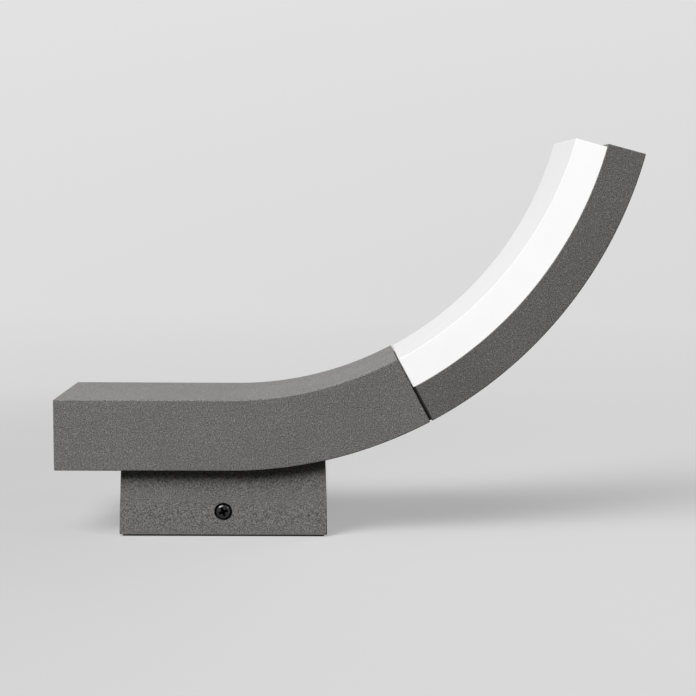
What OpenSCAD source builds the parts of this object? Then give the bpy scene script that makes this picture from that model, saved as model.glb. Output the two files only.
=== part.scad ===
// Outdoor wall light: a curved bar whose end glows, carried by a box on the wall.
// Z points away from the wall and X points towards the lit tip.
// The origin is the middle of the wall box, on the wall. Sizes are in millimetres.

/* [Arm] */
// Width of the arm and the head
arm_w = 60; // [56:1:66]
// Thickness of the arm
arm_t = 30; // [28.5:0.5:34]
// Wall thickness of the arm casting
arm_wall = 2.6; // [2.2:0.1:3]
// Length of the straight part of the arm
arm_straight = 73.5; // [72:0.5:100]
// Radius of the outer side of the bend
bend_r = 178; // [168:1:200]
// Where along the box the bend begins
bend_start = 2.8; // [1.5:0.1:6]
// Angle of the bend at which the arm ends and the head begins
arm_angle = 28.3; // [26:0.1:32]
// Radius of the long outer edges
edge_r = 0.8; // [0.4:0.1:1.2]

/* [Head] */
// Angle of the bend at which the head ends
head_angle = 75.5; // [68:0.5:82]
// Thickness of the metal back of the head
back_t = 16.2; // [15.6:0.1:17]
// Side wall thickness of the metal back
back_wall = 2.5; // [2:0.1:3]
// Floor thickness of the metal back under the LED board
back_floor = 4.5; // [4:0.1:5]
// Thickness of both end walls of the metal back
end_wall = 3; // [2.4:0.1:3.6]
// Shadow gap between the arm and the metal back
joint_gap = 0.8; // [0.6:0.1:1.2]

/* [Diffuser] */
// Wall thickness of the diffuser
dif_wall = 2; // [1.6:0.1:2.4]
// How far each side of the diffuser stands back from the metal
dif_inset = 0.8; // [0.5:0.1:1.1]
// How far the inner side of the diffuser stands back from the arm
dif_drop = 0.3; // [0.1:0.1:0.6]
// How much shorter than the metal the diffuser is at the tip
dif_short = 1.1; // [0.6:0.1:2]
// Gap between the shoulder of the diffuser and the arm
dif_gap = 0.45; // [0.3:0.05:0.8]
// How far the tongue of the diffuser reaches into the arm
tongue_l = 3; // [2.5:0.1:3.4]
// How deep the lips of the diffuser reach into the metal back
lip_l = 3.6; // [3:0.1:4.2]

/* [Wall box] */
// Length of the box at the wall
box_l = 88.2; // [86:0.2:94]
// Width of the box at the wall
box_w = 52; // [51:0.5:55]
// Height from the rim of the box to the underside of the arm
box_rise = 28; // [27.5:0.5:33]
// Wall thickness of the box
box_wall = 2.6; // [2.2:0.1:2.8]
// Draft of the sides of the box, in degrees
box_draft = 1.8; // [1:0.1:2.2]
// Radius of the upright edges of the box
box_corner = 1; // [0.6:0.1:2]
// Thickness of the seal between the box and the arm
seal_t = 1; // [0.8:0.1:1.4]
// Thickness of the gasket that shows between the box and the wall
gasket_t = 0.9; // [0.7:0.1:1.3]
// How far the gasket stands back from the rim
gasket_inset = 1.2; // [0.9:0.1:1.5]

/* [Wall plate] */
// Room between each end of the wall plate and the inside of the box
plate_end_room = 3; // [2:0.5:4.5]
// Thickness of the wall plate
plate_t = 2; // [1.6:0.1:2.4]
// Metal between a wall screw slot and the end of the plate
slot_edge = 4.5; // [3:0.5:6]
// Length of a wall screw slot from end to end
slot_l = 12; // [9:0.5:13]
// Width of a wall screw slot
slot_w = 4.8; // [4.5:0.1:5.5]
// Diameter of the supply cable that the grommet takes
cable_d = 8; // [6.5:0.5:9.5]
// Length of the two upright tabs that the side screws press on
tab_l = 24; // [20:1:26]
// Height of the tabs above the wall
tab_h = 16; // [15:0.5:17]
// Thickness of the tabs
tab_t = 2; // [1.6:0.1:2.4]

/* [Side screws] */
// Diameter of the side screw heads
side_head_d = 6.5; // [6:0.1:6.8]
// Height of the side screw heads
side_head_h = 2; // [1.8:0.1:2.4]
// Diameter of the sunk seats of the side screws
side_seat_d = 7.7; // [7.4:0.1:8]
// Depth of the sunk seats of the side screws
side_seat_h = 1.4; // [1.2:0.1:1.6]
// Height of the side screws above the wall
side_z = 10.7; // [10:0.1:11.5]

/* [Driver] */
// Length of the driver case
driver_l = 44; // [40:1:46]
// Width of the driver case
driver_w = 32; // [28:1:36]
// Height of the driver case
driver_h = 18; // [16:0.5:19]

/* [Light source] */
// Width of the LED board
board_w = 34; // [32:1:38]
// Thickness of the LED board
board_t = 1.6; // [1.2:0.1:2]
// Thickness of the thermal pad
pad_t = 0.5; // [0.3:0.1:0.8]
// Distance from one LED to the next along the board
led_pitch = 9.2; // [8:0.2:12]
// Distance of each LED row from the middle
led_row = 8; // [7:0.5:9]

/* [Hidden] */
$fn = 96;

// Clearances
fit_gap = 0.05;     // parts that sit in or on each other
slip_gap = 0.3;     // parts that slide past each other
pass_gap = 0.2;     // radial room of a screw in a through hole
far = 400;          // longer than the object
over = 0.5;         // how far a cut runs past a face

// Levels and radii
arm_z = gasket_t + box_rise;
arc_x = bend_start;
arc_z = arm_z + bend_r;
arm_x0 = bend_start - arm_straight;
in_r = bend_r - arm_t;
roof_r = in_r + arm_wall;
floor_r = bend_r - arm_wall;
seam_r = bend_r - back_t;
joint_r = bend_r - back_t / 2;
arm_floor_z = arm_z + arm_wall;
arm_in = arm_w / 2 - arm_wall;

// Angle of the bend that a length takes at a radius
function turn(len, r) = len / r * 180 / PI;
// Point on the bend
function arc_pt(a, r, y) = [arc_x + r * sin(a), y, arc_z - r * cos(a)];

// Head angles: outer ends, inner faces of the end walls, board ends
head_a0 = arm_angle + turn(joint_gap, joint_r);
head_in0 = head_a0 + turn(end_wall, joint_r);
head_in1 = head_angle - turn(end_wall, joint_r);
head_floor_r = bend_r - back_floor;
head_in = arm_w / 2 - back_wall;
board_r = head_floor_r - pad_t - board_t;
board_a0 = head_in0 + turn(6.5, joint_r);
board_a1 = head_in1 - turn(3, joint_r);
board_screw_end = 14;
board_screw_edge = 3.4;
dif_a0 = arm_angle + turn(dif_gap, in_r);
dif_a1 = head_angle - turn(dif_short, in_r);
dif_half = arm_w / 2 - dif_inset;
dif_r0 = in_r + dif_drop;
dif_r1 = seam_r - fit_gap;
lip_t = 1.9;
lip_room = 0.7;
lip_out = head_in - lip_room;
lip_in = lip_out - lip_t;
foot_t = 2;
foot_over = 0.4;        // how far the feet reach in past the lips

// Screw sizes: shank, thread hole, head diameter and head height
m4 = 3.9;
m4_tap = 4;
m4_head = 7;
m4_head_h = 2.4;
m3 = 2.9;
m3_tap = 3;
m3_head = 5.4;
m3_head_h = 1.9;
m3_bite = 5;
tap_end = 0.5;      // room past the end of a screw in its thread hole

// Joint between arm and head
plate_far = 10;
plate_near = 6;
joint_screw_y = arm_in - 4;
joint_screw_in = 4;
joint_boss = 8;
joint_boss_l = 7;
spigot_w = 34;
spigot_r0 = seam_r + 2;
spigot_r1 = floor_r - 0.8;
head_screw_y = 12;
head_screw_l = joint_gap + end_wall + plate_far - 0.6;
lead_hole_d = 8;
lead_y = 1.2;

// Wall box
top_off = seal_t + box_wall;
box_screw_x = -(box_l / 2 - box_wall - 5.5);
box_screw_a = asin((box_l / 2 - box_wall - 7.8 - arc_x) / bend_r);
box_screw_y = box_w / 2 - box_wall - 8.4;
boss_h = 3.6;
boss_d = 7.6;
boss_cap = 1;
washer_t = 1;
box_screw_l = washer_t + top_off + arm_wall + boss_h - boss_cap - tap_end;
bush_hole_d = 9;
bush_bore_d = 6.4;
bush_flange_t = 1.2;
bush_flange = 2;
box_in_z = arm_z - top_off;

// Side screws
function box_face_y(z) = box_w / 2 - (z - gasket_t) * tan(box_draft);
side_seat_y = box_face_y(side_z) - side_seat_h;
side_boss_l = 3;
side_boss_y = box_w / 2 - box_wall - side_boss_l;
side_boss_d = 10;
side_reach = 1.9;
tab_out = side_boss_y - side_reach;
side_tip_y = tab_out + slip_gap;
side_d = 3.9;

// Wall plate
plate_side_room = 1.4;
plate_w = box_w - 2 * (box_wall + plate_side_room);
plate_l = box_l - 2 * (box_wall + plate_end_room);
slot_pitch = plate_l - slot_l - 2 * slot_edge;
plate_corner = 3;
hub_r = 13;
hub_h = plate_t * 2;
hub_in_r = 10.4;
hub_hole_r = 7;
grommet_lip = 1.6;

// Terminal block and earth screw
block_x = -22;
block_l = 30;
block_w = 16;
block_h = 13;
block_foot = 2;
block_foot_d = 6;
block_z1 = box_in_z - block_foot;
block_z0 = block_z1 - block_h;
block_seat = 2.2;
pole_pitch = 10;
pole_z = block_z0 + 7;
pole_screw_x = 4;
pole_screw_sunk = 0.6;
tube_d = 5;
tube_bore = 2.8;
tube_short = 1;
wire_in = 3;
earth_x = 22;
earth_boss_d = 10;
earth_z = box_in_z - 2.4;
earth_bite = 4;
tag_t = 0.8;
tag_d = 8.4;
tag_l = 10;
tag_barrel = 3.2;
tag_barrel_l = 4;

// Driver
driver_x1 = -15.5;
driver_x0 = driver_x1 - driver_l;
driver_z0 = arm_floor_z + boss_h + 0.6;
driver_corner = 2;
ear_l = 6.5;
ear_w = 10;
ear_t = 1.6;
driver_wire_h = 10;
driver_wire_z = driver_z0 + driver_wire_h;
driver_wire_y = 6;
driver_wire_in = 4;
wire_d = 1.8;
wire_side = 1.4;

// LEDs and the connector of the board, with the room along the board beside them
conn_at = 5;
led_room0 = 3;
led_room1 = 5.8;
led_l = 3.5;
led_w = 2.8;
led_h = 0.6;
lens_d = 2.3;
lens_h = 0.15;
conn_l = 6;
conn_w = 8;
conn_h = 4;

metal = [0.41, 0.41, 0.4];
steel = [0.72, 0.73, 0.74];
dark = [0.1, 0.1, 0.1];
white = [0.95, 0.95, 0.94];
brass = [0.82, 0.68, 0.36];

// Rectangle from corner to corner with round corners
module round_rect(x0, x1, y0, y1, r) {
    translate([x0 + r, y0]) square([x1 - x0 - 2 * r, y1 - y0]);
    translate([x0, y0 + r]) square([x1 - x0, y1 - y0 - 2 * r]);
    for (x = [x0 + r, x1 - r]) for (y = [y0 + r, y1 - r]) translate([x, y]) circle(r = r);
}

// Band of the bend's cross-section, from one radius to another
module band(r0, r1, half) {
    translate([r0, -half]) square([r1 - r0, 2 * half]);
}

// Turns a profile of radius and width about the centre of the bend
module sweep(a0, a1) {
    translate([arc_x, 0, arc_z]) rotate([90, 0, 0]) rotate([0, 0, a0 - 90])
        rotate_extrude(angle = a1 - a0, $fn = 360) children();
}

// Draws the same profile straight along X, below the centre of the bend
module run(x0, x1) {
    translate([x0, 0, arc_z]) rotate([0, 90, 0]) linear_extrude(x1 - x0) children();
}

// Place on the bend: X runs along it and Z points to its centre
module at_arc(a, r, y = 0) {
    translate([arc_x, 0, arc_z]) rotate([0, -a, 0]) translate([0, y, -r]) children();
}

// Screw with a pan head: the shank runs up from the seat and the head hangs below
module pan_screw(d, l, head_d, head_h) {
    cylinder(d = d, h = l);
    difference() {
        translate([0, 0, -head_h]) cylinder(d1 = head_d - 1.2, d2 = head_d, h = head_h);
        cross_recess(head_d * 0.5, head_h * 0.55, -head_h);
    }
}

// Cross slot that goes up into a head from its outer face
module cross_recess(size, depth, z) {
    for (a = [0, 90]) rotate([0, 0, a])
        translate([-size / 2, -size / 8, z - over]) cube([size, size / 4, depth + over]);
}

// Everything on the arm's side of its underside, moved outwards by a distance
module above(off) {
    translate([-far, arm_z - off]) square([far + arc_x, far]);
    translate([arc_x, arc_z]) circle(r = bend_r + off, $fn = 360);
}

// Drafted outline of the box, as long or as wide as asked at the rim
module draft_2d(size, inset, z0) {
    half = size / 2 - inset;
    fall = tan(box_draft);
    z1 = arm_z + arm_t;
    polygon([
        [-half + (z0 - gasket_t) * fall, z0], [half - (z0 - gasket_t) * fall, z0],
        [half - (z1 - gasket_t) * fall, z1], [-half + (z1 - gasket_t) * fall, z1]
    ]);
}

// Solid with the drafted sides of the box, inset from them, under the arm's curve
module box_form(inset, off, z0, corner) {
    intersection() {
        rotate([90, 0, 0]) linear_extrude(box_w * 2, center = true) difference() {
            draft_2d(box_l, inset, z0);
            above(off);
        }
        rotate([90, 0, 90]) linear_extrude(box_l * 2, center = true) draft_2d(box_w, inset, z0);
        translate([0, 0, -over]) linear_extrude(far)
            round_rect(-box_l / 2 + inset, box_l / 2 - inset, -box_w / 2 + inset, box_w / 2 - inset, corner);
    }
}

// The four places where the box is screwed to the arm, on its underside
module box_screw_places() {
    for (y = [-box_screw_y, box_screw_y]) {
        translate([box_screw_x, y, arm_z]) children();
        at_arc(box_screw_a, bend_r, y) children();
    }
}

// Both ears of the driver
module driver_ear_places() {
    for (x = [driver_x0 - ear_l / 2, driver_x1 + ear_l / 2]) translate([x, 0, 0]) children();
}

// The four corners where the joint plate is screwed to the arm: Z points into the arm
module joint_screw_places() {
    for (r = [roof_r + joint_screw_in, floor_r - joint_screw_in])
        for (y = [-joint_screw_y, joint_screw_y])
            at_arc(arm_angle - turn(plate_near, joint_r), r, y) rotate([0, -90, 0]) children();
}

// The two places where the head is screwed to the joint plate
module head_screw_places() {
    for (y = [-head_screw_y, head_screw_y])
        at_arc(head_in0, joint_r, y) rotate([0, -90, 0]) children();
}

// The four screws of the LED board: Z points away from the board into the metal
module board_screw_places() {
    for (a = [board_a0 + turn(board_screw_end, board_r), board_a1 - turn(board_screw_end, board_r)])
        for (s = [-1, 1])
            at_arc(a, board_r - fit_gap, s * (board_w / 2 - board_screw_edge))
                rotate([180, 0, 0]) children();
}

// Smooth curve through a list of points
function blend(a, b, c, d, t) = 0.5 * (2 * b + (c - a) * t + (2 * a - 5 * b + 4 * c - d) * t * t
    + (3 * b - a - 3 * c + d) * t * t * t);
function smooth(p, n) = [
    for (i = [0 : len(p) - 2]) for (k = [0 : n - 1])
        blend(p[max(i - 1, 0)], p[i], p[i + 1], p[min(i + 2, len(p) - 1)], k / n),
    p[len(p) - 1]
];

// Round insulated wire along a smooth curve, which never runs along the side vector
module wire(points, d, side = [0, 1, 0]) {
    n = 8;
    q = smooth(points, 4);
    m = len(q);
    ways = [for (i = [0 : m - 1]) let (v = q[min(i + 1, m - 1)] - q[max(i - 1, 0)]) v / norm(v)];
    rings = [for (i = [0 : m - 1])
        let (c = cross(ways[i], side), u = c / norm(c), v = cross(ways[i], u))
        for (k = [0 : n - 1]) q[i] + d / 2 * (cos(360 * k / n) * u + sin(360 * k / n) * v)];
    walls = [for (i = [0 : m - 2]) for (k = [0 : n - 1])
        let (a = i * n + k, b = i * n + (k + 1) % n)
        for (f = [[a, a + n, b + n], [a, b + n, b]]) f];
    first = [for (k = [1 : n - 2]) [0, k, k + 1]];
    last = [for (k = [1 : n - 2]) [(m - 1) * n, (m - 1) * n + k + 1, (m - 1) * n + k]];
    polyhedron(points = rings, faces = concat(walls, first, last));
}

module wall_plate() {
    color(steel) difference() {
        union() {
            linear_extrude(plate_t)
                round_rect(-plate_l / 2, plate_l / 2, -plate_w / 2, plate_w / 2, plate_corner);
            cylinder(r = hub_r, h = hub_h);
        }
        for (s = [-1, 1]) {
            translate([s * slot_pitch / 2 - (slot_l - slot_w) / 2, -slot_w / 2, -over])
                cube([slot_l - slot_w, slot_w, plate_t + 2 * over]);
            for (e = [-1, 1]) translate([s * slot_pitch / 2 + e * (slot_l - slot_w) / 2, 0, -over])
                cylinder(d = slot_w, h = plate_t + 2 * over);
        }
        translate([0, 0, -over]) cylinder(r = hub_in_r, h = plate_t + over);
        cylinder(r = hub_hole_r, h = hub_h + over);
    }
}

// Two tabs welded upright on the wall plate, with their upper corners cut off
module plate_tabs() {
    cut = 3;
    color(steel) for (y = [tab_out - tab_t, -tab_out]) translate([0, y + tab_t, 0]) rotate([90, 0, 0])
        linear_extrude(tab_t) polygon([
            [-tab_l / 2, plate_t], [tab_l / 2, plate_t], [tab_l / 2, tab_h - cut],
            [tab_l / 2 - cut, tab_h], [-tab_l / 2 + cut, tab_h], [-tab_l / 2, tab_h - cut]
        ]);
}

module wall_gasket() {
    long = box_l / 2 - gasket_inset;
    wide = box_w / 2 - gasket_inset;
    color(dark) linear_extrude(gasket_t - fit_gap) difference() {
        round_rect(-long, long, -wide, wide, box_corner);
        round_rect(-plate_l / 2 - slip_gap, plate_l / 2 + slip_gap,
            -plate_w / 2 - slip_gap, plate_w / 2 + slip_gap, plate_corner);
    }
}

module cable_grommet() {
    color(dark) rotate_extrude() polygon([
        [cable_d / 2, slip_gap], [hub_in_r - fit_gap, slip_gap], [hub_in_r - fit_gap, plate_t - fit_gap],
        [hub_hole_r - fit_gap, plate_t - fit_gap], [hub_hole_r - fit_gap, hub_h + fit_gap],
        [hub_hole_r + grommet_lip, hub_h + fit_gap], [hub_hole_r + grommet_lip / 2, hub_h + grommet_lip],
        [cable_d / 2, hub_h + grommet_lip]
    ]);
}

module wall_box() {
    color(metal) difference() {
        union() {
            difference() {
                box_form(0, seal_t, gasket_t, box_corner);
                box_form(box_wall, top_off, gasket_t - over, box_corner);
            }
            for (s = [-1, 1]) translate([0, s * side_boss_y, side_z]) rotate([-s * 90, 0, 0])
                cylinder(d = side_boss_d, h = box_wall / 2 + side_boss_l);
            for (y = [-pole_pitch / 2, pole_pitch / 2]) translate([block_x, y, block_z1])
                cylinder(d = block_foot_d, h = block_foot + box_wall / 2);
            translate([earth_x, 0, earth_z])
                cylinder(d = earth_boss_d, h = box_in_z - earth_z + box_wall / 2);
        }
        for (s = [-1, 1]) translate([0, 0, side_z]) rotate([-s * 90, 0, 0]) {
            translate([0, 0, side_boss_y - over]) cylinder(d = side_d + 2 * fit_gap, h = far);
            translate([0, 0, side_seat_y]) cylinder(d = side_seat_d, h = far);
        }
        box_screw_places() translate([0, 0, -top_off - over])
            cylinder(d = m4 + 2 * pass_gap, h = box_wall + 2 * over);
        for (y = [-pole_pitch / 2, pole_pitch / 2]) translate([block_x, y, block_z1 - over])
            cylinder(d = m3_tap, h = block_foot + box_wall - boss_cap + over);
        translate([earth_x, 0, earth_z - over]) cylinder(d = m4_tap, h = earth_bite + tap_end + over);
        translate([0, 0, box_in_z - over]) cylinder(d = bush_hole_d, h = box_wall + 2 * over);
    }
}

module box_seal() {
    inset = 0.8;
    color(dark) difference() {
        rotate([90, 0, 0]) linear_extrude(box_w - 4 * inset, center = true) intersection() {
            draft_2d(box_l, inset, gasket_t);
            difference() {
                above(seal_t - fit_gap);
                above(fit_gap);
            }
        }
        box_screw_places() translate([0, 0, -2 * seal_t])
            cylinder(d = m4 + 2 * pass_gap, h = 3 * seal_t);
        translate([0, 0, arm_z - 2 * seal_t]) cylinder(d = bush_hole_d, h = 3 * seal_t);
    }
}

module box_screws() {
    color(steel) box_screw_places() translate([0, 0, -top_off - washer_t])
        pan_screw(m4, box_screw_l, m4_head, m4_head_h);
}

module box_washers() {
    color(steel) box_screw_places() translate([0, 0, -top_off - washer_t]) difference() {
        cylinder(d = m4_head, h = washer_t);
        translate([0, 0, -over]) cylinder(d = m4 + 2 * fit_gap, h = washer_t + 2 * over);
    }
}

module lead_bush() {
    z0 = box_in_z - bush_flange_t;
    z1 = arm_floor_z + 0.1;
    r = bush_hole_d / 2 - fit_gap;
    color(dark) rotate_extrude() polygon([
        [bush_bore_d / 2, z0], [r + bush_flange, z0], [r + bush_flange, z0 + bush_flange_t - fit_gap],
        [r, z0 + bush_flange_t - fit_gap], [r, z1], [r + bush_flange / 2, z1],
        [r + bush_flange / 4, z1 + bush_flange_t], [bush_bore_d / 2, z1 + bush_flange_t]
    ]);
}

module pole_places() {
    for (y = [-pole_pitch, 0, pole_pitch]) translate([block_x, y, 0]) children();
}

module terminal_block() {
    color([0.86, 0.85, 0.8]) difference() {
        translate([block_x, 0, block_z0]) linear_extrude(block_h) difference() {
            round_rect(-block_w / 2, block_w / 2, -block_l / 2, block_l / 2, 1);
            for (x = [-block_w / 2, block_w / 2]) for (y = [-pole_pitch / 2, pole_pitch / 2])
                translate([x, y]) square([4, 1.6], center = true);
        }
        pole_places() {
            translate([-block_w, 0, pole_z]) rotate([0, 90, 0])
                cylinder(d = tube_d + 2 * fit_gap, h = 2 * block_w);
            for (x = [-pole_screw_x, pole_screw_x]) translate([x, 0, block_z0 - over])
                cylinder(d = m3 + 2 * pass_gap, h = pole_z - block_z0 + over);
        }
        for (y = [-pole_pitch / 2, pole_pitch / 2]) translate([block_x, y, block_z0 - over]) {
            cylinder(d = m3 + 2 * pass_gap, h = block_h + 2 * over);
            cylinder(d = m3_head + 2 * pass_gap, h = over + block_seat);
        }
    }
}

module terminal_tubes() {
    color(brass) pole_places() difference() {
        translate([-block_w / 2 + tube_short, 0, pole_z]) rotate([0, 90, 0])
            cylinder(d = tube_d, h = block_w - 2 * tube_short);
        translate([-block_w, 0, pole_z]) rotate([0, 90, 0]) cylinder(d = tube_bore, h = 2 * block_w);
        for (x = [-pole_screw_x, pole_screw_x]) translate([x, 0, pole_z - tube_d])
            cylinder(d = m3 + 2 * fit_gap, h = tube_d);
    }
}

module terminal_screws() {
    slot = 0.6;
    z0 = block_z0 + pole_screw_sunk;
    color(steel) pole_places() for (x = [-pole_screw_x, pole_screw_x]) translate([x, 0, z0]) difference() {
        cylinder(d = m3, h = pole_z - tube_bore / 2 - z0);
        translate([-m3, -slot / 2, -over]) cube([2 * m3, slot, 1 + over]);
    }
}

module terminal_block_screws() {
    seat = block_z0 + block_seat;
    color(steel) for (y = [-pole_pitch / 2, pole_pitch / 2]) translate([block_x, y, seat])
        pan_screw(m3, box_in_z + box_wall - boss_cap - tap_end - seat, m3_head, m3_head_h);
}

module earth_screw() {
    color(brass) translate([earth_x, 0, earth_z - tag_t])
        pan_screw(m4, tag_t + earth_bite, m4_head, m4_head_h);
}

module earth_tag() {
    color(steel) difference() {
        translate([earth_x, 0, earth_z - tag_t]) union() {
            cylinder(d = tag_d, h = tag_t);
            translate([-tag_l + 1, -tag_barrel / 2, 0]) cube([tag_l - m4, tag_barrel, tag_t]);
            translate([-tag_l, 0, tag_t / 2]) rotate([0, 90, 0])
                cylinder(d = tag_barrel, h = tag_barrel_l);
        }
        translate([earth_x, 0, earth_z - 2 * tag_t]) cylinder(d = m4 + 2 * fit_gap, h = 3 * tag_t);
        translate([earth_x - tag_l - over, 0, earth_z - tag_t / 2]) rotate([0, 90, 0])
            cylinder(d = wire_d + 2 * pass_gap, h = 3);
    }
}

module earth_lead() {
    x = block_x + block_w / 2;
    z = earth_z - tag_t / 2;
    color([0.55, 0.7, 0.2]) wire([
        [x - wire_in, pole_pitch, pole_z], [x + 2, pole_pitch, pole_z], [x + 5, pole_pitch, pole_z],
        [x + 12, pole_pitch * 0.9, pole_z + 0.6], [x + 19, pole_pitch * 0.5, z - 1.6],
        [x + 22.5, pole_pitch * 0.16, z - 0.5], [earth_x - tag_l - 1, 0, z], [earth_x - tag_l + 2, 0, z]
    ], wire_d, [0, 0, 1]);
}

module arm_housing() {
    boss_a1 = arm_angle - turn(plate_far, joint_r);
    boss_a0 = boss_a1 - turn(joint_boss_l, joint_r);
    color(metal) difference() {
        union() {
            difference() {
                union() {
                    run(arm_x0, arc_x) round_rect(in_r, bend_r, -arm_w / 2, arm_w / 2, edge_r);
                    sweep(0, arm_angle) round_rect(in_r, bend_r, -arm_w / 2, arm_w / 2, edge_r);
                }
                run(arm_x0 + arm_wall, arc_x) band(roof_r, floor_r, arm_in);
                sweep(0, arm_angle + 1) band(roof_r, floor_r, arm_in);
            }
            box_screw_places() translate([0, 0, arm_wall / 2])
                cylinder(d = boss_d, h = arm_wall / 2 + boss_h);
            driver_ear_places() translate([0, 0, arm_z + arm_wall / 2])
                cylinder(d = boss_d, h = driver_z0 - fit_gap - arm_z - arm_wall / 2);
            for (s = [-1, 1]) sweep(boss_a0, boss_a1) {
                for (r = [roof_r - 1, floor_r - joint_boss])
                    translate([r, s > 0 ? arm_in - joint_boss : -arm_in - 1])
                        square(joint_boss + 1);
            }
        }
        box_screw_places() translate([0, 0, -over])
            cylinder(d = m4_tap, h = arm_wall + boss_h - boss_cap + over);
        driver_ear_places() translate([0, 0, driver_z0 - m3_bite - tap_end])
            cylinder(d = m3_tap, h = m3_bite + tap_end + over);
        joint_screw_places() cylinder(d = m3_tap, h = plate_far - plate_near + m3_bite + tap_end);
        translate([0, 0, arm_z - over]) cylinder(d = bush_hole_d, h = arm_wall + 2 * over);
    }
}

module led_driver() {
    color([0.9, 0.9, 0.9]) difference() {
        union() {
            translate([0, 0, driver_z0]) linear_extrude(driver_h)
                round_rect(driver_x0, driver_x1, -driver_w / 2, driver_w / 2, driver_corner);
            translate([0, 0, driver_z0]) linear_extrude(ear_t)
                round_rect(driver_x0 - ear_l, driver_x1 + ear_l, -ear_w / 2, ear_w / 2, driver_corner);
        }
        driver_ear_places() translate([0, 0, driver_z0 - over])
            cylinder(d = m3 + 2 * pass_gap, h = ear_t + 2 * over);
        for (y = [-driver_wire_y, driver_wire_y]) for (d = [-wire_side, wire_side])
            translate([driver_x1 - driver_wire_in, y + d, driver_wire_z]) rotate([0, 90, 0])
                cylinder(d = wire_d + 2 * pass_gap, h = driver_wire_in + over);
    }
}

module driver_screws() {
    color(steel) driver_ear_places() translate([0, 0, driver_z0 + ear_t]) rotate([180, 0, 0])
        pan_screw(m3, ear_t + m3_bite, m3_head, m3_head_h);
}

module driver_input_leads() {
    z = driver_wire_z;
    for (s = [-1, 1]) {
        pole_y = s > 0 ? 0 : -pole_pitch;
        color(s > 0 ? [0.25, 0.4, 0.7] : [0.45, 0.28, 0.18]) wire([
            [block_x + block_w / 2 - wire_in, pole_y, pole_z], [-12, pole_y, pole_z],
            [-10, pole_y, pole_z], [-4, pole_y * 0.6 + s * 0.4, pole_z + 0.6],
            [-0.9, s * 1.3 - 0.6, box_in_z - 3], [0, s * 1.3, box_in_z + 1], [0, s * 1.3, arm_floor_z + 2],
            [-0.6, s * 1.35 - 1.2, arm_floor_z + 8], [-4, s * wire_side - 4.4, z - 1],
            [-9, s * wire_side - driver_wire_y, z], [driver_x1 + 1, s * wire_side - driver_wire_y, z],
            [driver_x1 - driver_wire_in + 1, s * wire_side - driver_wire_y, z]
        ], wire_d);
    }
}

module driver_output_leads() {
    z = driver_wire_z;
    for (s = [-1, 1]) color(s > 0 ? [0.7, 0.12, 0.1] : [0.12, 0.12, 0.12]) wire([
        [driver_x1 - driver_wire_in + 1, driver_wire_y + s * wire_side, z],
        [driver_x1 + 1, driver_wire_y + s * wire_side, z], [-10, driver_wire_y + s * wire_side, z],
        [0, 5 + s * wire_side, z + 1], [14, 3.5 + s * wire_side, z + 0.5],
        arc_pt(10, joint_r - 8, 2 + s * wire_side), arc_pt(17, joint_r - 6, 0.8 + s * 1.3),
        arc_pt(arm_angle - 5, joint_r - 1.5, s * lead_y), arc_pt(arm_angle - 2.5, joint_r, s * lead_y),
        arc_pt(head_a0, joint_r, s * lead_y), arc_pt(head_in0 + 0.6, joint_r - 0.5, s * lead_y),
        arc_pt(board_a0 + turn(conn_at - 1.8, board_r), board_r - conn_h / 2, s * lead_y)
    ], wire_d);
}

module joint_plate() {
    color(metal) difference() {
        sweep(arm_angle - turn(plate_far, joint_r), arm_angle - turn(plate_near, joint_r))
            band(roof_r + fit_gap, floor_r - fit_gap, arm_in - fit_gap);
        joint_screw_places() translate([0, 0, -over])
            cylinder(d = m3 + 2 * pass_gap, h = plate_far - plate_near + 2 * over);
        head_screw_places() cylinder(d = m4_tap, h = 3 * plate_far);
        at_arc(arm_angle, joint_r) rotate([0, 90, 0])
            cylinder(d = lead_hole_d, h = 4 * plate_far, center = true);
    }
}

module joint_plate_screws() {
    color(steel) joint_screw_places() pan_screw(m3, plate_far - plate_near + m3_bite, m3_head, m3_head_h);
}

module joint_gasket() {
    inset = 0.6;
    color(dark) difference() {
        sweep(arm_angle, head_a0) band(seam_r + inset, bend_r - inset, arm_w / 2 - inset);
        sweep(arm_angle - 1, head_a0 + 1)
            band(spigot_r0 - pass_gap, spigot_r1 + pass_gap, spigot_w / 2 + pass_gap);
    }
}

module head_screws() {
    color(steel) head_screw_places() pan_screw(m4, head_screw_l, m4_head, m4_head_h);
}

// Cross-section of the metal back, round on its two outer edges
module back_2d() {
    translate([seam_r, -arm_w / 2]) square([back_t - edge_r, arm_w]);
    translate([seam_r, -arm_w / 2 + edge_r]) square([back_t, arm_w - 2 * edge_r]);
    for (s = [-1, 1]) translate([bend_r - edge_r, s * (arm_w / 2 - edge_r)]) circle(r = edge_r);
}

module head_back() {
    color(metal) difference() {
        union() {
            difference() {
                sweep(head_a0, head_angle) back_2d();
                sweep(head_in0, head_in1) band(seam_r - over, head_floor_r, head_in);
            }
            sweep(arm_angle - turn(plate_near, joint_r), head_a0 + turn(end_wall / 2, joint_r))
                band(spigot_r0, spigot_r1, spigot_w / 2);
        }
        head_screw_places() translate([0, 0, -over])
            cylinder(d = m4 + 2 * pass_gap, h = plate_far + end_wall);
        at_arc(head_a0, joint_r) rotate([0, 90, 0])
            cylinder(d = lead_hole_d, h = 3 * plate_near, center = true);
        board_screw_places() translate([0, 0, board_t])
            cylinder(d = m3_tap, h = pad_t + back_floor - boss_cap);
    }
}

module thermal_pad() {
    color([0.6, 0.62, 0.66]) difference() {
        sweep(board_a0, board_a1)
            band(board_r + board_t + fit_gap, head_floor_r - fit_gap, board_w / 2 - 0.5);
        board_screw_places() cylinder(d = m3 + 2 * pass_gap, h = 2 * board_t + 2 * pad_t);
    }
}

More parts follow.
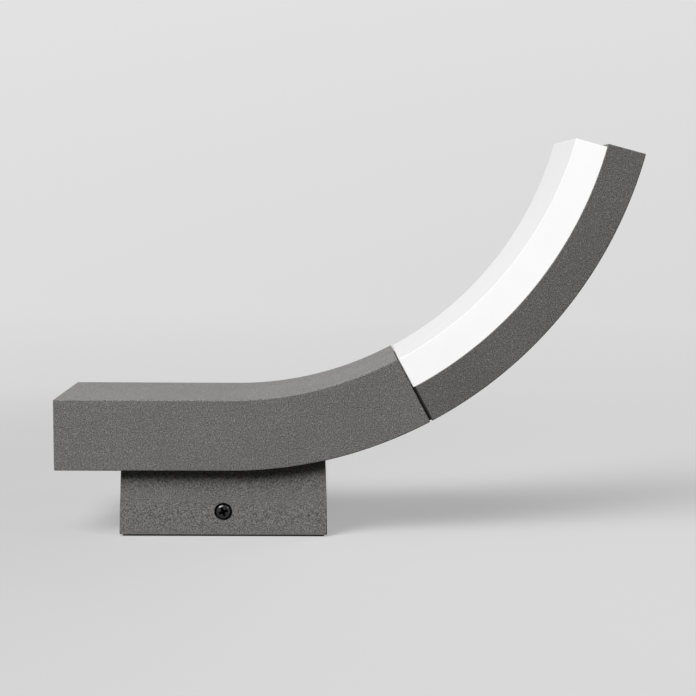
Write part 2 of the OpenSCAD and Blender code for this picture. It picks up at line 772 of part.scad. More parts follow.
module led_board() {
    color(white) difference() {
        sweep(board_a0, board_a1) band(board_r, board_r + board_t, board_w / 2);
        board_screw_places() translate([0, 0, -over])
            cylinder(d = m3 + 2 * pass_gap, h = board_t + 2 * over);
    }
}

module leds() {
    a0 = board_a0 + turn(conn_at + conn_l / 2 + led_room0, board_r);
    a1 = board_a1 - turn(led_room1, board_r);
    step = turn(led_pitch, board_r);
    count = floor((a1 - a0) / step) + 1;
    first = (a0 + a1 - (count - 1) * step) / 2;
    for (i = [0 : count - 1]) for (y = [-led_row, led_row])
        at_arc(first + i * step, board_r - fit_gap, y) {
            color(white) translate([-led_l / 2, -led_w / 2, 0]) cube([led_l, led_w, led_h]);
            color([0.98, 0.85, 0.35]) translate([0, 0, led_h]) cylinder(d = lens_d, h = lens_h);
        }
}

module led_board_screws() {
    color(steel) board_screw_places() pan_screw(m3, board_t + pad_t + back_floor - boss_cap - tap_end,
        m3_head, m3_head_h);
}

module led_connector() {
    color(white) at_arc(board_a0 + turn(conn_at, board_r), board_r - fit_gap) difference() {
        translate([-conn_l / 2, -conn_w / 2, 0]) cube([conn_l, conn_w, conn_h]);
        for (y = [-lead_y, lead_y]) translate([-conn_l / 2 - over, y, conn_h / 2])
            rotate([0, 90, 0]) cylinder(d = wire_d + 2 * pass_gap, h = conn_l / 2 + over);
    }
}

// Cross-section of the diffuser's trough with its feet
module diffuser_2d() {
    foot_r = dif_r1 - foot_t;
    difference() {
        union() {
            round_rect(dif_r0, dif_r1 - 1, -dif_half, dif_half, 0.6);
            translate([foot_r, -dif_half]) square([foot_t, 2 * dif_half]);
        }
        band(dif_r0 + dif_wall, foot_r, dif_half - dif_wall);
        band(foot_r - 1, dif_r1 + 1, lip_in - foot_over);
    }
}

module diffuser() {
    lip_a0 = head_in0 + turn(1, seam_r);
    lip_a1 = head_in1 - turn(1, seam_r);
    end_r = dif_r1 - 0.4 * foot_t;
    color([0.97, 0.97, 0.96]) union() {
        sweep(dif_a0, dif_a1) diffuser_2d();
        sweep(dif_a0, dif_a0 + turn(dif_wall, in_r)) band(dif_r0 + 1, end_r, dif_half - 1);
        sweep(dif_a1 - turn(dif_wall, in_r), dif_a1) band(dif_r0 + 1, end_r, dif_half - 1);
        sweep(arm_angle - turn(tongue_l, in_r), dif_a0 + turn(dif_wall, in_r))
            band(roof_r + slip_gap, dif_r1 - 0.5, arm_in - slip_gap);
        for (s = [-1, 1]) sweep(lip_a0, lip_a1)
            translate([dif_r1 - 1, s > 0 ? lip_in : -lip_out]) square([lip_l + 1, lip_out - lip_in]);
    }
}

module diffuser_seal() {
    r0 = seam_r + 0.3;
    r1 = seam_r + lip_l - 0.4;
    bead = head_in - lip_out - 2 * fit_gap;
    a0 = head_in0 + turn(fit_gap, seam_r);
    a1 = head_in1 - turn(fit_gap, seam_r);
    color([0.8, 0.8, 0.78]) difference() {
        sweep(a0, a1) band(r0, r1, head_in - fit_gap);
        sweep(a0 + turn(bead, seam_r), a1 - turn(bead, seam_r))
            band(r0 - over, r1 + over, head_in - fit_gap - bead);
    }
}

// Side screw with a domed head, at the front or at the rear
module side_screw(s) {
    dome_r = 5.2;
    color(dark) translate([0, s * (side_seat_y + fit_gap), side_z]) rotate([-s * 90, 0, 0]) difference() {
        union() {
            translate([0, 0, side_tip_y - side_seat_y - fit_gap])
                cylinder(d = side_d, h = side_seat_y - side_tip_y + 2 * fit_gap);
            intersection() {
                cylinder(d = side_head_d, h = side_head_h);
                translate([0, 0, side_head_h - dome_r]) sphere(r = dome_r);
            }
        }
        translate([0, 0, side_head_h]) rotate([180, 0, 20 * s]) cross_recess(3.6, 1.1, 0);
    }
}

module side_screw_front() {
    side_screw(-1);
}

module side_screw_rear() {
    side_screw(1);
}

wall_plate();
plate_tabs();
wall_gasket();
cable_grommet();
wall_box();
box_seal();
box_screws();
box_washers();
lead_bush();
terminal_block();
terminal_tubes();
terminal_screws();
terminal_block_screws();
earth_screw();
earth_tag();
earth_lead();
arm_housing();
led_driver();
driver_screws();
driver_input_leads();
driver_output_leads();
joint_plate();
joint_plate_screws();
joint_gasket();
head_screws();
head_back();
thermal_pad();
led_board();
leds();
led_board_screws();
led_connector();
diffuser();
diffuser_seal();
side_screw_front();
side_screw_rear();
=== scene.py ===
from contextlib import contextmanager
from functools import partialmethod
from math import atan2, cos, pi, radians, sin, tan

import bmesh
import bpy
import numpy as np
from bpy.props import FloatProperty, FloatVectorProperty, IntProperty, PointerProperty
from mathutils import Matrix, Vector


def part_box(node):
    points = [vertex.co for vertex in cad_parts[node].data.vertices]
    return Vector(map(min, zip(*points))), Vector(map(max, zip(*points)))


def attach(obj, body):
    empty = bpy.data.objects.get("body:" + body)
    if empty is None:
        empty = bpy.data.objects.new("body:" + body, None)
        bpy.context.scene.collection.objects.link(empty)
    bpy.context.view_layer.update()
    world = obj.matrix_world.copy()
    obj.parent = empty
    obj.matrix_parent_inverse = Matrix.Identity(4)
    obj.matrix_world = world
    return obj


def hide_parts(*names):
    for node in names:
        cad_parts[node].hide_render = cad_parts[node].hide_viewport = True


bl_info = {
    "name": "Outdoor Wall Light",
    "version": (1, 0, 0),
    "blender": (4, 5, 0),
    "location": "View3D > Sidebar > Wall Light",
    "description": "Builds a curved outdoor wall light with its finishes, and a studio round it",
    "category": "Object",
}

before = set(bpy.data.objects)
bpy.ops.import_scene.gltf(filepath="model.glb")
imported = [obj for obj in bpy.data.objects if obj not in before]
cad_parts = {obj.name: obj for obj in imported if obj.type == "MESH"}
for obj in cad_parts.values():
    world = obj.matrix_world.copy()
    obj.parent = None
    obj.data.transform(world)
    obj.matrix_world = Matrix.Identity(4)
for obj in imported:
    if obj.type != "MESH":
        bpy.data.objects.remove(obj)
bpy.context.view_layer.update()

MM = 0.001
ARM_LOW, ARM_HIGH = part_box("arm_housing")
DRIVER_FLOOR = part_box("led_driver")[0].z
STEP_WIDTH, STEP_DEPTH = 0.7 * MM, 0.65 * MM  # the step in the head's sides at the joint
HEAD_CUTS = 48  # cuts along the head and the diffuser
SHARP = radians(32)  # an edge that turns more than this stays sharp
EVEN = radians(0.3)  # faces that turn less than this become one
DOUBLE = 0.5e-6  # corners nearer than this become one
NOISE_RANGE = (0.3, 0.7)  # holds nearly all values of a noise
WHITE = (1, 1, 1)


def prop(kind, **fixed):
    """A kind of property that takes its name, description and default in that order."""
    return lambda name, description, default: kind(
        name=name, description=description, default=default, **fixed)


Number, Whole, Power = prop(FloatProperty), prop(IntProperty), prop(FloatProperty, subtype="POWER")
Length = prop(FloatProperty, unit="LENGTH", subtype="DISTANCE")
Angle = prop(FloatProperty, unit="ROTATION", subtype="ANGLE")
Colour = prop(FloatVectorProperty, size=3, subtype="COLOR", min=0, max=1)


class WallLightShape(bpy.types.PropertyGroup):
    """Sizes of the castings and the diffuser, in metres and radians"""

    width: Length("Width", "Width of the arm and the head", ARM_HIGH.y - ARM_LOW.y)
    thickness: Length("Thickness", "Thickness of the arm", 30 * MM)
    arm_wall: Length("Arm wall", "Wall thickness of the arm casting", 2.6 * MM)
    bend_radius: Length("Bend radius", "Radius of the outer side of the bend", 178 * MM)
    bend_start: Length("Bend start", "Where along the box the bend begins", 2.8 * MM)
    arm_end: Angle("Arm end", "Angle of the bend at which the arm ends", radians(28.3))
    head_end: Angle("Head end", "Angle of the bend at which the head ends", radians(75.5))
    joint_gap: Length("Shadow gap", "Gap between the arm and the head", 0.8 * MM)
    edge: Length("Edge radius", "Radius of the long outer edges", 0.45 * MM)
    end_edge: Length("End edge radius", "Radius of the edges of the end faces", 0.5 * MM)
    back: Length("Metal back", "Thickness of the metal back of the head", 16.2 * MM)
    back_wall: Length("Back wall", "Side wall thickness of the metal back", 2.5 * MM)
    back_floor: Length("Back floor", "Floor thickness of the metal back", 4.5 * MM)
    end_wall: Length("End wall", "Thickness of the end walls of the metal back", 3 * MM)
    diffuser_wall: Length("Diffuser wall", "Wall thickness of the diffuser", 2 * MM)
    diffuser_inset: Length("Diffuser inset", "How far the diffuser's sides stand back", 0.8 * MM)
    diffuser_edge: Length("Diffuser edge", "Radius of the outer edges of the diffuser", 0.45 * MM)


class WallLightFinish(bpy.types.PropertyGroup):
    """Colours of the finishes and the strength of the glow"""

    coat: Colour("Powder coat", "Colour of the textured anthracite coat", (0.204, 0.199, 0.194))
    head_tone: Number("Head tone", "Tone of the head's coat against the arm's", 0.8)
    grain: Length("Grain size", "Size of the grains in the powder coat", 0.5 * MM)
    glow: Colour("Glow", "Colour of the light in the diffuser", WHITE)
    side_glow: Number("Side glow", "Strength of the glow on the sides of the diffuser", 0.66)
    face_glow: Number("Face glow", "Strength of the glow on the face of the diffuser", 0.39)


class WallLightStudio(bpy.types.PropertyGroup):
    """Levels of the studio's lamps, floor and backdrop"""

    world: Number("Ambient", "Strength of the light from all around", 0.012)
    key: Power("Key lamp", "Power of the soft lamp high on the left", 21.3)
    fill: Power("Fill lamp", "Power of the lower soft lamp on the left", 17.5)
    side: Power("Side lamp", "Power of the weak lamp high on the right", 3)
    rear: Power("Rear lamp", "Power of the low lamp behind on the right", 8)
    backdrop: Number("Backdrop", "Brightness of the backdrop", 0.655)
    floor: Number("Floor", "Paleness of the floor", 0.69)
    bounce: Number("Bounce", "How much light the floor gives back", 0.02)
    fade: Number("Fade", "How much the backdrop's tone covers the near floor", 0.5)
    spin_seed: Whole("Screw turns", "Seed for how far each screw is turned", 4)


def shape():
    return bpy.context.scene.wall_light_shape


def mm(*sizes):
    """Sizes given in millimetres."""
    return [size * MM for size in sizes]


def along(angle):
    """Place along the straight bar that the bend turns to an angle."""
    return shape().bend_start + shape().bend_radius * angle


def bend_axis():
    """Centre of the bend, with its height as Z."""
    return Vector((shape().bend_start, 0, ARM_LOW.z + shape().bend_radius))


def angle_at(place):
    """Angle of the bend at a place."""
    axis = bend_axis()
    return atan2(place[0] - axis.x, axis.z - place[2])


def middle(corners):
    """Middle of the box round some corners."""
    return (corners.min(0) + corners.max(0)) / 2


def quarter(count):
    """Angles spread over a quarter turn."""
    return np.linspace(0, pi / 2, count)


def rounding(radius, count):
    """How far the points of a rounded edge lie from its first side and from its second."""
    return [(radius * (1 - cos(a)), radius * (1 - sin(a))) for a in quarter(count)]


def bar_loop(place, half, low, high, radius):
    """Loop round a bar's cross-section: up its right side, then down its left side."""
    turn = quarter(6)
    lower = np.c_[half - radius + radius * np.sin(turn), low + radius * (1 - np.cos(turn))]
    upper = np.c_[half - radius + radius * np.cos(turn), high - radius * (1 - np.sin(turn))]
    right = np.vstack([lower, upper])
    across = np.vstack([right, right[::-1] * (-1, 1)])
    return np.c_[np.full(len(across), place), across]


def tray_loops(rows, first, last, corner, cuts, step=None):
    """Loops round a tray seen from above, along its right side and back along its left.

    Each row is a height, how far the ends stand in from first and last, and a half width.
    A step is a width and a half width: the tray's first stretch is only that wide.
    """
    loops, turn = [], quarter(5)
    for height, inset, half in rows:
        start, end = first + inset, last - inset
        near = np.c_[start + corner * (1 - np.cos(turn)), half - corner * (1 - np.sin(turn))]
        if step:
            width, sunk = step
            near = np.c_[start + width * np.array((0, 0.5, 1, 1, 1)),
                         (sunk, sunk, sunk, (sunk + half) / 2, half)]
        far = np.c_[end - corner * (1 - np.sin(turn)), half - corner * (1 - np.cos(turn))]
        inner = np.linspace(start + corner, end - corner, cuts)[1:-1]
        right = np.vstack([near, np.c_[inner, np.full(len(inner), half)], far])
        plan = np.vstack([right, right[::-1] * (1, -1)])
        loops.append(np.c_[plan, np.full(len(plan), height)])
    return loops


def walls(rows, count):
    """Faces between rings of equally many points."""
    return [(row * count + k, row * count + (k + 1) % count,
             (row + 1) * count + (k + 1) % count, (row + 1) * count + k)
            for row in range(rows) for k in range(count)]


def loft(loops):
    """Closed shape through loops, with a ladder of faces across each end."""
    size, rows = len(loops[0]), len(loops) - 1
    faces = walls(rows, size)
    for base in (0, rows * size):
        faces += [(base + i, base + i + 1, base + size - 2 - i, base + size - 1 - i)
                  for i in range(size // 2 - 1)]
    return np.vstack(loops), faces


def capped(rings):
    """Closed shape through rings, with one face across each end."""
    size, rows = len(rings[0]), len(rings) - 1
    ends = [tuple(range(size))[::-1], tuple(range(rows * size, rows * size + size))]
    return np.vstack(rings), walls(rows, size) + ends


def lathe(profile, steps):
    """Closed shape of a profile of (radius, height), from pole to pole, turned about Z."""
    points, rings, faces = [], [], []
    for radius, height in profile:
        count = 1 if radius == 0 else steps
        rings.append(range(len(points), len(points) + count))
        for k in range(count):
            turn = 2 * pi * k / steps
            points.append((radius * cos(turn), radius * sin(turn), height))
    for a, b in zip(rings, rings[1:]):
        for k in range(steps):
            j = (k + 1) % steps
            face = [a[k % len(a)], a[j % len(a)], b[j % len(b)], b[k % len(b)]]
            faces.append(tuple(dict.fromkeys(face)))
    return np.array(points), [f for f in faces if len(f) > 2]


def cylinder(radius, low, high, steps=48):
    return lathe([(0, low), (radius, low), (radius, high), (0, high)], steps)


def placed(part, matrix):
    """A shape moved by a matrix."""
    points, faces = part
    m = np.array(matrix)
    return points @ m[:3, :3].T + m[:3, 3], faces


def posts(spots, *sizes):
    """A cylinder at each spot, given as X and Y."""
    return [placed(cylinder(*sizes), Matrix.Translation((*spot, 0))) for spot in spots]


def joined(parts):
    """Several shapes as one."""
    points, faces, base = [], [], 0
    for p, f in parts:
        points.append(p)
        faces += [tuple(i + base for i in face) for face in f]
        base += len(p)
    return np.vstack(points), faces


def add_object(name, data):
    obj = bpy.data.objects.new(name, data)
    bpy.context.scene.collection.objects.link(obj)
    return obj


def make_object(name, part):
    """A new object whose faces point outwards, with its place in its mesh."""
    mesh = bpy.data.meshes.new(name)
    mesh.from_pydata(part[0], [], part[1])
    face_outwards(mesh)
    return add_object(name, mesh)


@contextmanager
def editing(mesh):
    """The mesh in a form that can be edited, and written back at the end."""
    bm = bmesh.new()
    bm.from_mesh(mesh)
    yield bm
    bm.to_mesh(mesh)
    bm.free()


def face_outwards(mesh):
    """Merges doubles and turns every face outwards."""
    with editing(mesh) as bm:
        bmesh.ops.remove_doubles(bm, verts=bm.verts, dist=DOUBLE)
        bmesh.ops.recalc_face_normals(bm, faces=bm.faces)


def absorb(obj, part):
    """Adds a shape to the object's mesh."""
    other = make_object("part", part)
    with editing(obj.data) as bm:
        bm.from_mesh(other.data)
    bpy.data.objects.remove(other)


def settle(obj):
    """Turns the object's modifiers into plain mesh."""
    graph = bpy.context.evaluated_depsgraph_get()
    graph.update()
    mesh = bpy.data.meshes.new_from_object(obj.evaluated_get(graph), depsgraph=graph)
    old = obj.data
    obj.modifiers.clear()
    obj.data = mesh
    mesh.name = obj.name
    bpy.data.meshes.remove(old)


def carve(obj, part, operation="DIFFERENCE"):
    """Cuts a shape out of the object, or adds it."""
    tool = make_object("tool", part)
    cut = obj.modifiers.new("Carve", "BOOLEAN")
    cut.operation, cut.solver, cut.object = operation, "EXACT", tool
    settle(obj)
    bpy.data.objects.remove(tool)


def shade(obj, edge, segments):
    """Bevels sharp edges, if given a width, and shades smooth with flat faces kept flat."""
    if edge:
        bevel = obj.modifiers.new("Bevel", "BEVEL")
        bevel.width, bevel.segments = edge, segments
        bevel.limit_method, bevel.angle_limit = "ANGLE", SHARP
        settle(obj)
    obj.data.shade_smooth()
    obj.data.set_sharp_from_angle(angle=SHARP)
    even = obj.modifiers.new("Even", "WEIGHTED_NORMAL")
    even.keep_sharp, even.weight = True, 80
    settle(obj)


def dress(obj, finish, node, body="light", edge=0.0, segments=0):
    """Shades a piece, gives it its material in a new slot and its body, and hides the node it
    replaces.
    """
    shade(obj, edge, segments)
    obj.data.materials.clear()
    obj.data.materials.append(material_of(finish))
    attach(obj, body)
    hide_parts(node)


def microns(places):
    """Places rounded to thousandths of a millimetre."""
    return np.round(np.array(places) * 1e6).astype(np.int64)


def copy_of(node, keep=None):
    """A merged copy of a CAD node's mesh, or of those of its solids that pass a test."""
    obj = add_object(node + "_fine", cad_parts[node].data.copy())
    with editing(obj.data) as bm:
        bmesh.ops.remove_doubles(bm, verts=bm.verts, dist=DOUBLE)
        if keep:
            solids = filter(keep, solids_of(node))
            kept = {tuple(place) for solid in solids for place in microns(solid)}
            others = [v for v in bm.verts if tuple(microns(v.co)) not in kept]
            bmesh.ops.delete(bm, geom=others, context="VERTS")
        bmesh.ops.dissolve_limit(bm, angle_limit=EVEN, verts=bm.verts, edges=bm.edges)
    if "custom_normal" in obj.data.attributes:
        obj.data.attributes.remove(obj.data.attributes["custom_normal"])
    return obj


def soften(node, finish, width, segments=2, body="light"):
    """A copy of a CAD node with its sharp edges rounded, in place of the node."""
    dress(copy_of(node), finish, node, body, width, segments)


def solids_of(node):
    """The separate solids of a CAD node, each as an array of its corners."""
    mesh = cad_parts[node].data
    corners, index = np.unique(microns([v.co for v in mesh.vertices]), axis=0, return_inverse=True)
    index, group = index.reshape(-1), list(range(len(corners)))

    def root(i):
        while group[i] != i:
            group[i] = group[group[i]]
            i = group[i]
        return i

    for face in mesh.polygons:
        ids = [index[v] for v in face.vertices]
        for other in ids[1:]:
            group[root(other)] = root(ids[0])
    roots = np.array([root(i) for i in range(len(corners))])
    return [corners[roots == r] * 1e-6 for r in np.unique(roots)]


def screw_place(corners, way):
    """A plain CAD screw's seat, its shank's radius and length, and its head's radius and height."""
    way = np.array(way)
    side = np.cross(way, (0, 1, 0) if abs(way[1]) < 0.9 else (1, 0, 0))
    side /= np.linalg.norm(side)
    other = np.cross(way, side)
    height = corners @ way
    u, v = corners @ side, corners @ other
    centre = side * (u.min() + u.max()) / 2 + other * (v.min() + v.max()) / 2
    radius = np.hypot(u - centre @ side, v - centre @ other)
    tip = height > height.max() - 0.1 * (height.max() - height.min())
    shank = radius[tip].max()
    seat = height[radius > 1.2 * shank].max()
    return centre + way * seat, shank, height.max() - seat, radius.max(), seat - height.min()


def thread(radius, start, end, pitch, steps=20):
    """Threaded shank from start to end along Z, which narrows at its end."""
    rows_a_turn, tip_rows, depth, tip_radius = 6, 5, 0.16, 0.8
    rows = max(8, int((end - start) / pitch * rows_a_turn))
    turn = 2 * pi * np.arange(steps) / steps
    rings = []
    for row in range(rows + 1):
        height = start + (end - start) * row / rows
        phase = (height / pitch - turn / (2 * pi)) % 1
        groove = np.clip(np.abs(2 * phase - 1) * 1.4 - 0.2, 0, 1)
        taper = min(1, (rows - row) / tip_rows)
        r = radius * (1 - depth * groove) * (tip_radius + (1 - tip_radius) * taper)
        rings.append(np.c_[r * np.cos(turn), r * np.sin(turn), np.full(steps, height)])
    return capped(rings)


def cross_cutter(reach, width, top, depth):
    """Cross-shaped plug, tapered downwards from top, for a screw head's recess."""
    half = width / 2
    plus = [(x * c - y * s, x * s + y * c) for c, s in ((1, 0), (0, 1), (-1, 0), (0, -1))
            for x, y in ((reach, -half), (reach, half), (half, half))]
    rows = (1.15, 1, top - 0.3 * depth), (1, 1, top), (0.45, 0.8, top + depth)
    return capped([[(x * scale, y * (1 if abs(y) > half else narrow) * scale, height)
                    for x, y in plus] for scale, narrow, height in rows])


def pan_screw(shank, length, head, head_height, pitch):
    """Screw with a domed, recessed pan head below its seat at Z 0 and a thread above."""
    rim, dome = 0.4 * head_height, 0.6 * head_height
    profile = [(0, 0), (head * 0.96, 0), (head, -0.08 * head_height), (head, -rim)]
    profile += [(head * cos(a), -rim - dome * sin(a)) for a in quarter(9)[1:-1]]
    profile.append((0, -head_height))
    screw = make_object("screw_pattern", lathe(profile, 40))
    carve(screw, cross_cutter(0.56 * head, 0.26 * head, -head_height, 0.62 * head_height))
    absorb(screw, thread(shank, -0.3 * head_height, length, pitch))
    return screw


class Value:
    """A node's output, which is reckoned with like a number."""

    def __init__(self, socket):
        self.socket, self.tree = socket, socket.id_data

    def maths(self, operation, *others):
        """Result of a math node on this value and on others or plain numbers."""
        return value(self.tree, "ShaderNodeMath", self, *others, operation=operation)

    __add__ = partialmethod(maths, "ADD")
    __sub__ = partialmethod(maths, "SUBTRACT")
    __mul__ = partialmethod(maths, "MULTIPLY")
    __truediv__ = partialmethod(maths, "DIVIDE")

    def span(self, low, high, to_low, to_high):
        """The value moved from a range to another range, with its ends held."""
        return value(self.tree, "ShaderNodeMapRange", self, low, high, to_low, to_high)

    def vary(self, low, high):
        """A noise spread over a range."""
        return self.span(*NOISE_RANGE, low, high)

    def parts(self):
        """X, Y and Z of a place."""
        split = feed(self.tree.nodes.new("ShaderNodeSeparateXYZ"), self)
        return [Value(socket) for socket in split.outputs]


def feed(node, *values, **named):
    """Sets or links a node's inputs, by order or name; names in small letters are settings."""
    for key, given in (*named.items(), *enumerate(values)):
        if str(key)[0].islower():
            setattr(node, key, given)
            continue
        socket = node.inputs[key.replace("_", " ") if isinstance(key, str) else key]
        if isinstance(given, Value):
            socket.id_data.links.new(given.socket, socket)
        else:
            socket.default_value = given
    return node


def value(tree, kind, *values, output=0, **named):
    """The output of a new node."""
    return Value(feed(tree.nodes.new(kind), *values, **named).outputs[output])


def new_tree(name, *numbers, **others):
    """A geometry node tree, and its geometry, numbers, other inputs and material as values."""
    tree = bpy.data.node_groups.new(name, "GeometryNodeTree")
    kinds = {"Geometry": "Geometry", **dict.fromkeys(numbers, "Float"), **others,
             "Material": "Material"}
    for label, kind in kinds.items():
        tree.interface.new_socket(label, in_out="INPUT", socket_type="NodeSocket" + kind)
    tree.interface.new_socket("Geometry", in_out="OUTPUT", socket_type="NodeSocketGeometry")
    start = tree.nodes.new("NodeGroupInput")
    return tree, {socket.name: Value(socket) for socket in start.outputs}


def end_tree(given, geometry):
    """Ends a tree in real geometry with its material."""
    tree = geometry.tree
    real = value(tree, "GeometryNodeRealizeInstances", geometry)
    painted = value(tree, "GeometryNodeSetMaterial", real, Material=given["Material"])
    feed(tree.nodes.new("NodeGroupOutput"), painted)
    return tree


def set_copies(given, pattern, points, rotation):
    """Ends a tree in turned copies of an object on points."""
    info = value(points.tree, "GeometryNodeObjectInfo", output="Geometry", Object=pattern)
    return end_tree(given, value(points.tree, "GeometryNodeInstanceOnPoints", points,
                                 Instance=info, Rotation=rotation))


def bend_nodes():
    """Node tree that bends a straight bar, drawn along X, round the arm's curve."""
    tree, given = new_tree("Bend along the arm", "Bend Radius", "Bend Start", "Arm Height")
    radius, first = given["Bend Radius"], given["Bend Start"]
    x, y, z = value(tree, "GeometryNodeInputPosition").parts()
    run = x - first
    angle = run.maths("MAXIMUM", 0.0) / radius
    flat = first + run.maths("MINIMUM", 0.0)
    centre = given["Arm Height"] + radius
    reach = centre - z
    place = value(tree, "ShaderNodeCombineXYZ", flat + reach * angle.maths("SINE"), y,
                  centre - reach * angle.maths("COSINE"))
    bent = value(tree, "GeometryNodeSetPosition", given["Geometry"], Position=place)
    return end_tree(given, bent)


def screw_nodes():
    """Node tree that puts a screw on each point, along its aim, turned by chance."""
    tree, given = new_tree("Screws at their places", Screw="Object", Seed="Int")
    aim = value(tree, "GeometryNodeInputNamedAttribute", data_type="FLOAT_VECTOR", Name="aim")
    pointed = value(tree, "FunctionNodeAlignRotationToVector", axis="Z", Vector=aim)
    spin = feed(tree.nodes.new("FunctionNodeRandomValue"), data_type="FLOAT", Seed=given["Seed"])
    spin.inputs[2].default_value, spin.inputs[3].default_value = 0.0, 2 * pi
    turn = value(tree, "ShaderNodeCombineXYZ", Z=Value(spin.outputs[1]))
    twist = value(tree, "FunctionNodeRotateRotation", pointed, turn, rotation_space="LOCAL")
    return set_copies(given, given["Screw"], given["Geometry"], twist)


def led_nodes():
    """Node tree that sets two rows of LEDs along the bent board."""
    tree, given = new_tree("LEDs along the board", "First Angle", "Last Angle", "Radius",
                           "Row Offset", "Centre X", "Centre Z", LED="Object", Count="Int")
    count, first, radius = given["Count"], given["First Angle"], given["Radius"]
    index = value(tree, "GeometryNodeInputIndex")
    row, step = index.maths("MODULO", 2.0), (index / 2.0).maths("FLOOR")
    angle = first + (given["Last Angle"] - first) * (step / (count - 1.0))
    place = value(tree, "ShaderNodeCombineXYZ",
                  given["Centre X"] + radius * angle.maths("SINE"),
                  given["Row Offset"] * (row * 2.0 - 1.0),
                  given["Centre Z"] - radius * angle.maths("COSINE"))
    line = value(tree, "GeometryNodeMeshLine", Count=count * 2.0)
    points = value(tree, "GeometryNodeSetPosition", line, Position=place)
    turn = value(tree, "ShaderNodeCombineXYZ", Y=angle * -1.0)
    return set_copies(given, given["LED"], points, turn)


def run_nodes(obj, tree, finish, **sizes):
    """Runs a node tree on the object with its named inputs and keeps the result as plain mesh."""
    nodes = obj.modifiers.new(tree.name, "NODES")
    nodes.node_group = tree
    values = {name.replace("_", " "): size for name, size in sizes.items()}
    values["Material"] = material_of(finish)
    for item in tree.interface.items_tree:
        if item.in_out == "INPUT" and item.name in values:
            nodes[item.identifier] = values[item.name]
    settle(obj)


def make_bar(name, loops, added, cuts, finish, node):
    """A straight bar with a shape added and others cut away, bent round the arm's curve."""
    bar = make_object(name, loft(loops))
    carve(bar, added, "UNION")
    for cut in cuts:
        carve(bar, cut)
    run_nodes(bar, bend_nodes(), finish, Bend_Radius=shape().bend_radius,
              Bend_Start=shape().bend_start, Arm_Height=ARM_LOW.z)
    dress(bar, finish, node)


def object_place(tree, scale=(1, 1, 1)):
    """Object coordinates, stretched."""
    source = value(tree, "ShaderNodeTexCoord", output="Object")
    return value(tree, "ShaderNodeMapping", source, Scale=scale)


def material_nodes(name, colour, roughness, lay=(1, 1, 1), **inputs):
    """A material, its principled shader set to plain values, and its Object coordinates."""
    material = bpy.data.materials.new(name)
    material.use_nodes = True
    shader = material.node_tree.nodes["Principled BSDF"]
    feed(shader, Base_Color=(*colour, 1), Roughness=roughness, **inputs)
    material.diffuse_color = (*colour, 1)
    return material, shader, object_place(material.node_tree, lay)


def noise(place, size, detail=2.0, roughness=0.5):
    """Noise whose lumps are about the given size."""
    return value(place.tree, "ShaderNodeTexNoise", Vector=place, Scale=1 / size, Detail=detail,
                 Roughness=roughness)


def tinted(colour, factor):
    """A colour made lighter or darker by a factor."""
    return value(factor.tree, "ShaderNodeVectorMath", colour, operation="SCALE", Scale=factor)


def bumped(height, distance):
    """Surface relief from a height."""
    return value(height.tree, "ShaderNodeBump", Distance=distance, Height=height)


def from_bend(place):
    """Distances of a place from the bend's centre, along X, Y and Z."""
    axis = bend_axis()
    x, y, z = place.parts()
    return x - axis.x, y, z - axis.z


def past_arm(across, above):
    """How far a place lies past the plane in which the arm ends."""
    end = shape().arm_end
    return across * cos(end) + above * sin(end)


def powder_coat(name, head):
    """Powder coat with a fine texture and mixed grains; on the head darker, with painted shade in
    the step at the joint.
    """
    finish = bpy.context.scene.wall_light_finish
    colour = [c * (finish.head_tone if head else 1.0) for c in finish.coat]
    material, shader, place = material_nodes(name, colour, 0.55, Specular_IOR_Level=0.12)
    grain = noise(place, finish.grain, 3, 0.65)
    fleck = value(place.tree, "ShaderNodeTexVoronoi", Vector=place, Scale=1 / (1.5 * MM))
    cloud = noise(place, 24 * MM).vary(0.96, 1.04) * noise(place, 2.5 * MM).vary(0.93, 1.07)
    level = grain.vary(0.15, 1.85) * cloud + fleck.span(0.1, 0.22, 0.7, 0.0)
    if head:
        across, _, above = from_bend(place)
        rim, step_shade = shape().joint_gap + STEP_WIDTH, 0.22
        past = past_arm(across, above)
        # Painted shade: the coat in the step at the joint is made darker, as if in the shadow of
        # the gap.
        level = level * past.span(rim - 0.12 * MM, rim - 0.02 * MM, step_shade, 1.0)
    feed(shader, Base_Color=tinted(colour, level), Roughness=grain.vary(0.46, 0.66),
         Normal=bumped(grain, 0.1 * MM))
    return material


def opal(name, colour):
    """Opal plastic whose glow is partly the LEDs' light and partly painted light: the sides glow
    most and the face less, as the light falls on them, and the foot a little less, as painted
    shade.
    """
    finish, s = bpy.context.scene.wall_light_finish, shape()
    material, shader, place = material_nodes(
        name, colour, 0.55, Emission_Color=(*finish.glow, 1), IOR=1.49)
    across, level, above = from_bend(place)
    half, face = s.width / 2 - s.diffuser_inset, s.bend_radius - s.thickness
    reach = (across * across + above * above).maths("SQRT")
    near_face = reach.span(face, face + 0.7 * MM, 0.65, 1.0)
    side = level.maths("ABSOLUTE").span(half - 0.2 * MM, half, 0.0, 1.0) * near_face
    haze = noise(place, 9 * MM, 1)
    foot, knee = (height * ARM_LOW.z - bend_axis().z for height in (2, 3.5))
    # Painted shade: the glow grows weaker towards the foot, and stops inside the arm.
    fade = above.span(foot, knee, 0.93, 1.0) * haze.vary(0.99, 1.01)
    fade = fade * past_arm(across, above).span(0.45 * MM, 0.8 * MM, 0.0, 1.0)
    # Painted light: the sides and the face get the glow strengths that the studio light would give
    # them.
    feed(shader, Emission_Strength=side.span(0.0, 1.0, finish.face_glow, finish.side_glow) * fade,
         Roughness=haze.vary(0.5, 0.6), Normal=bumped(noise(place, 0.5 * MM), 0.01 * MM))
    return material


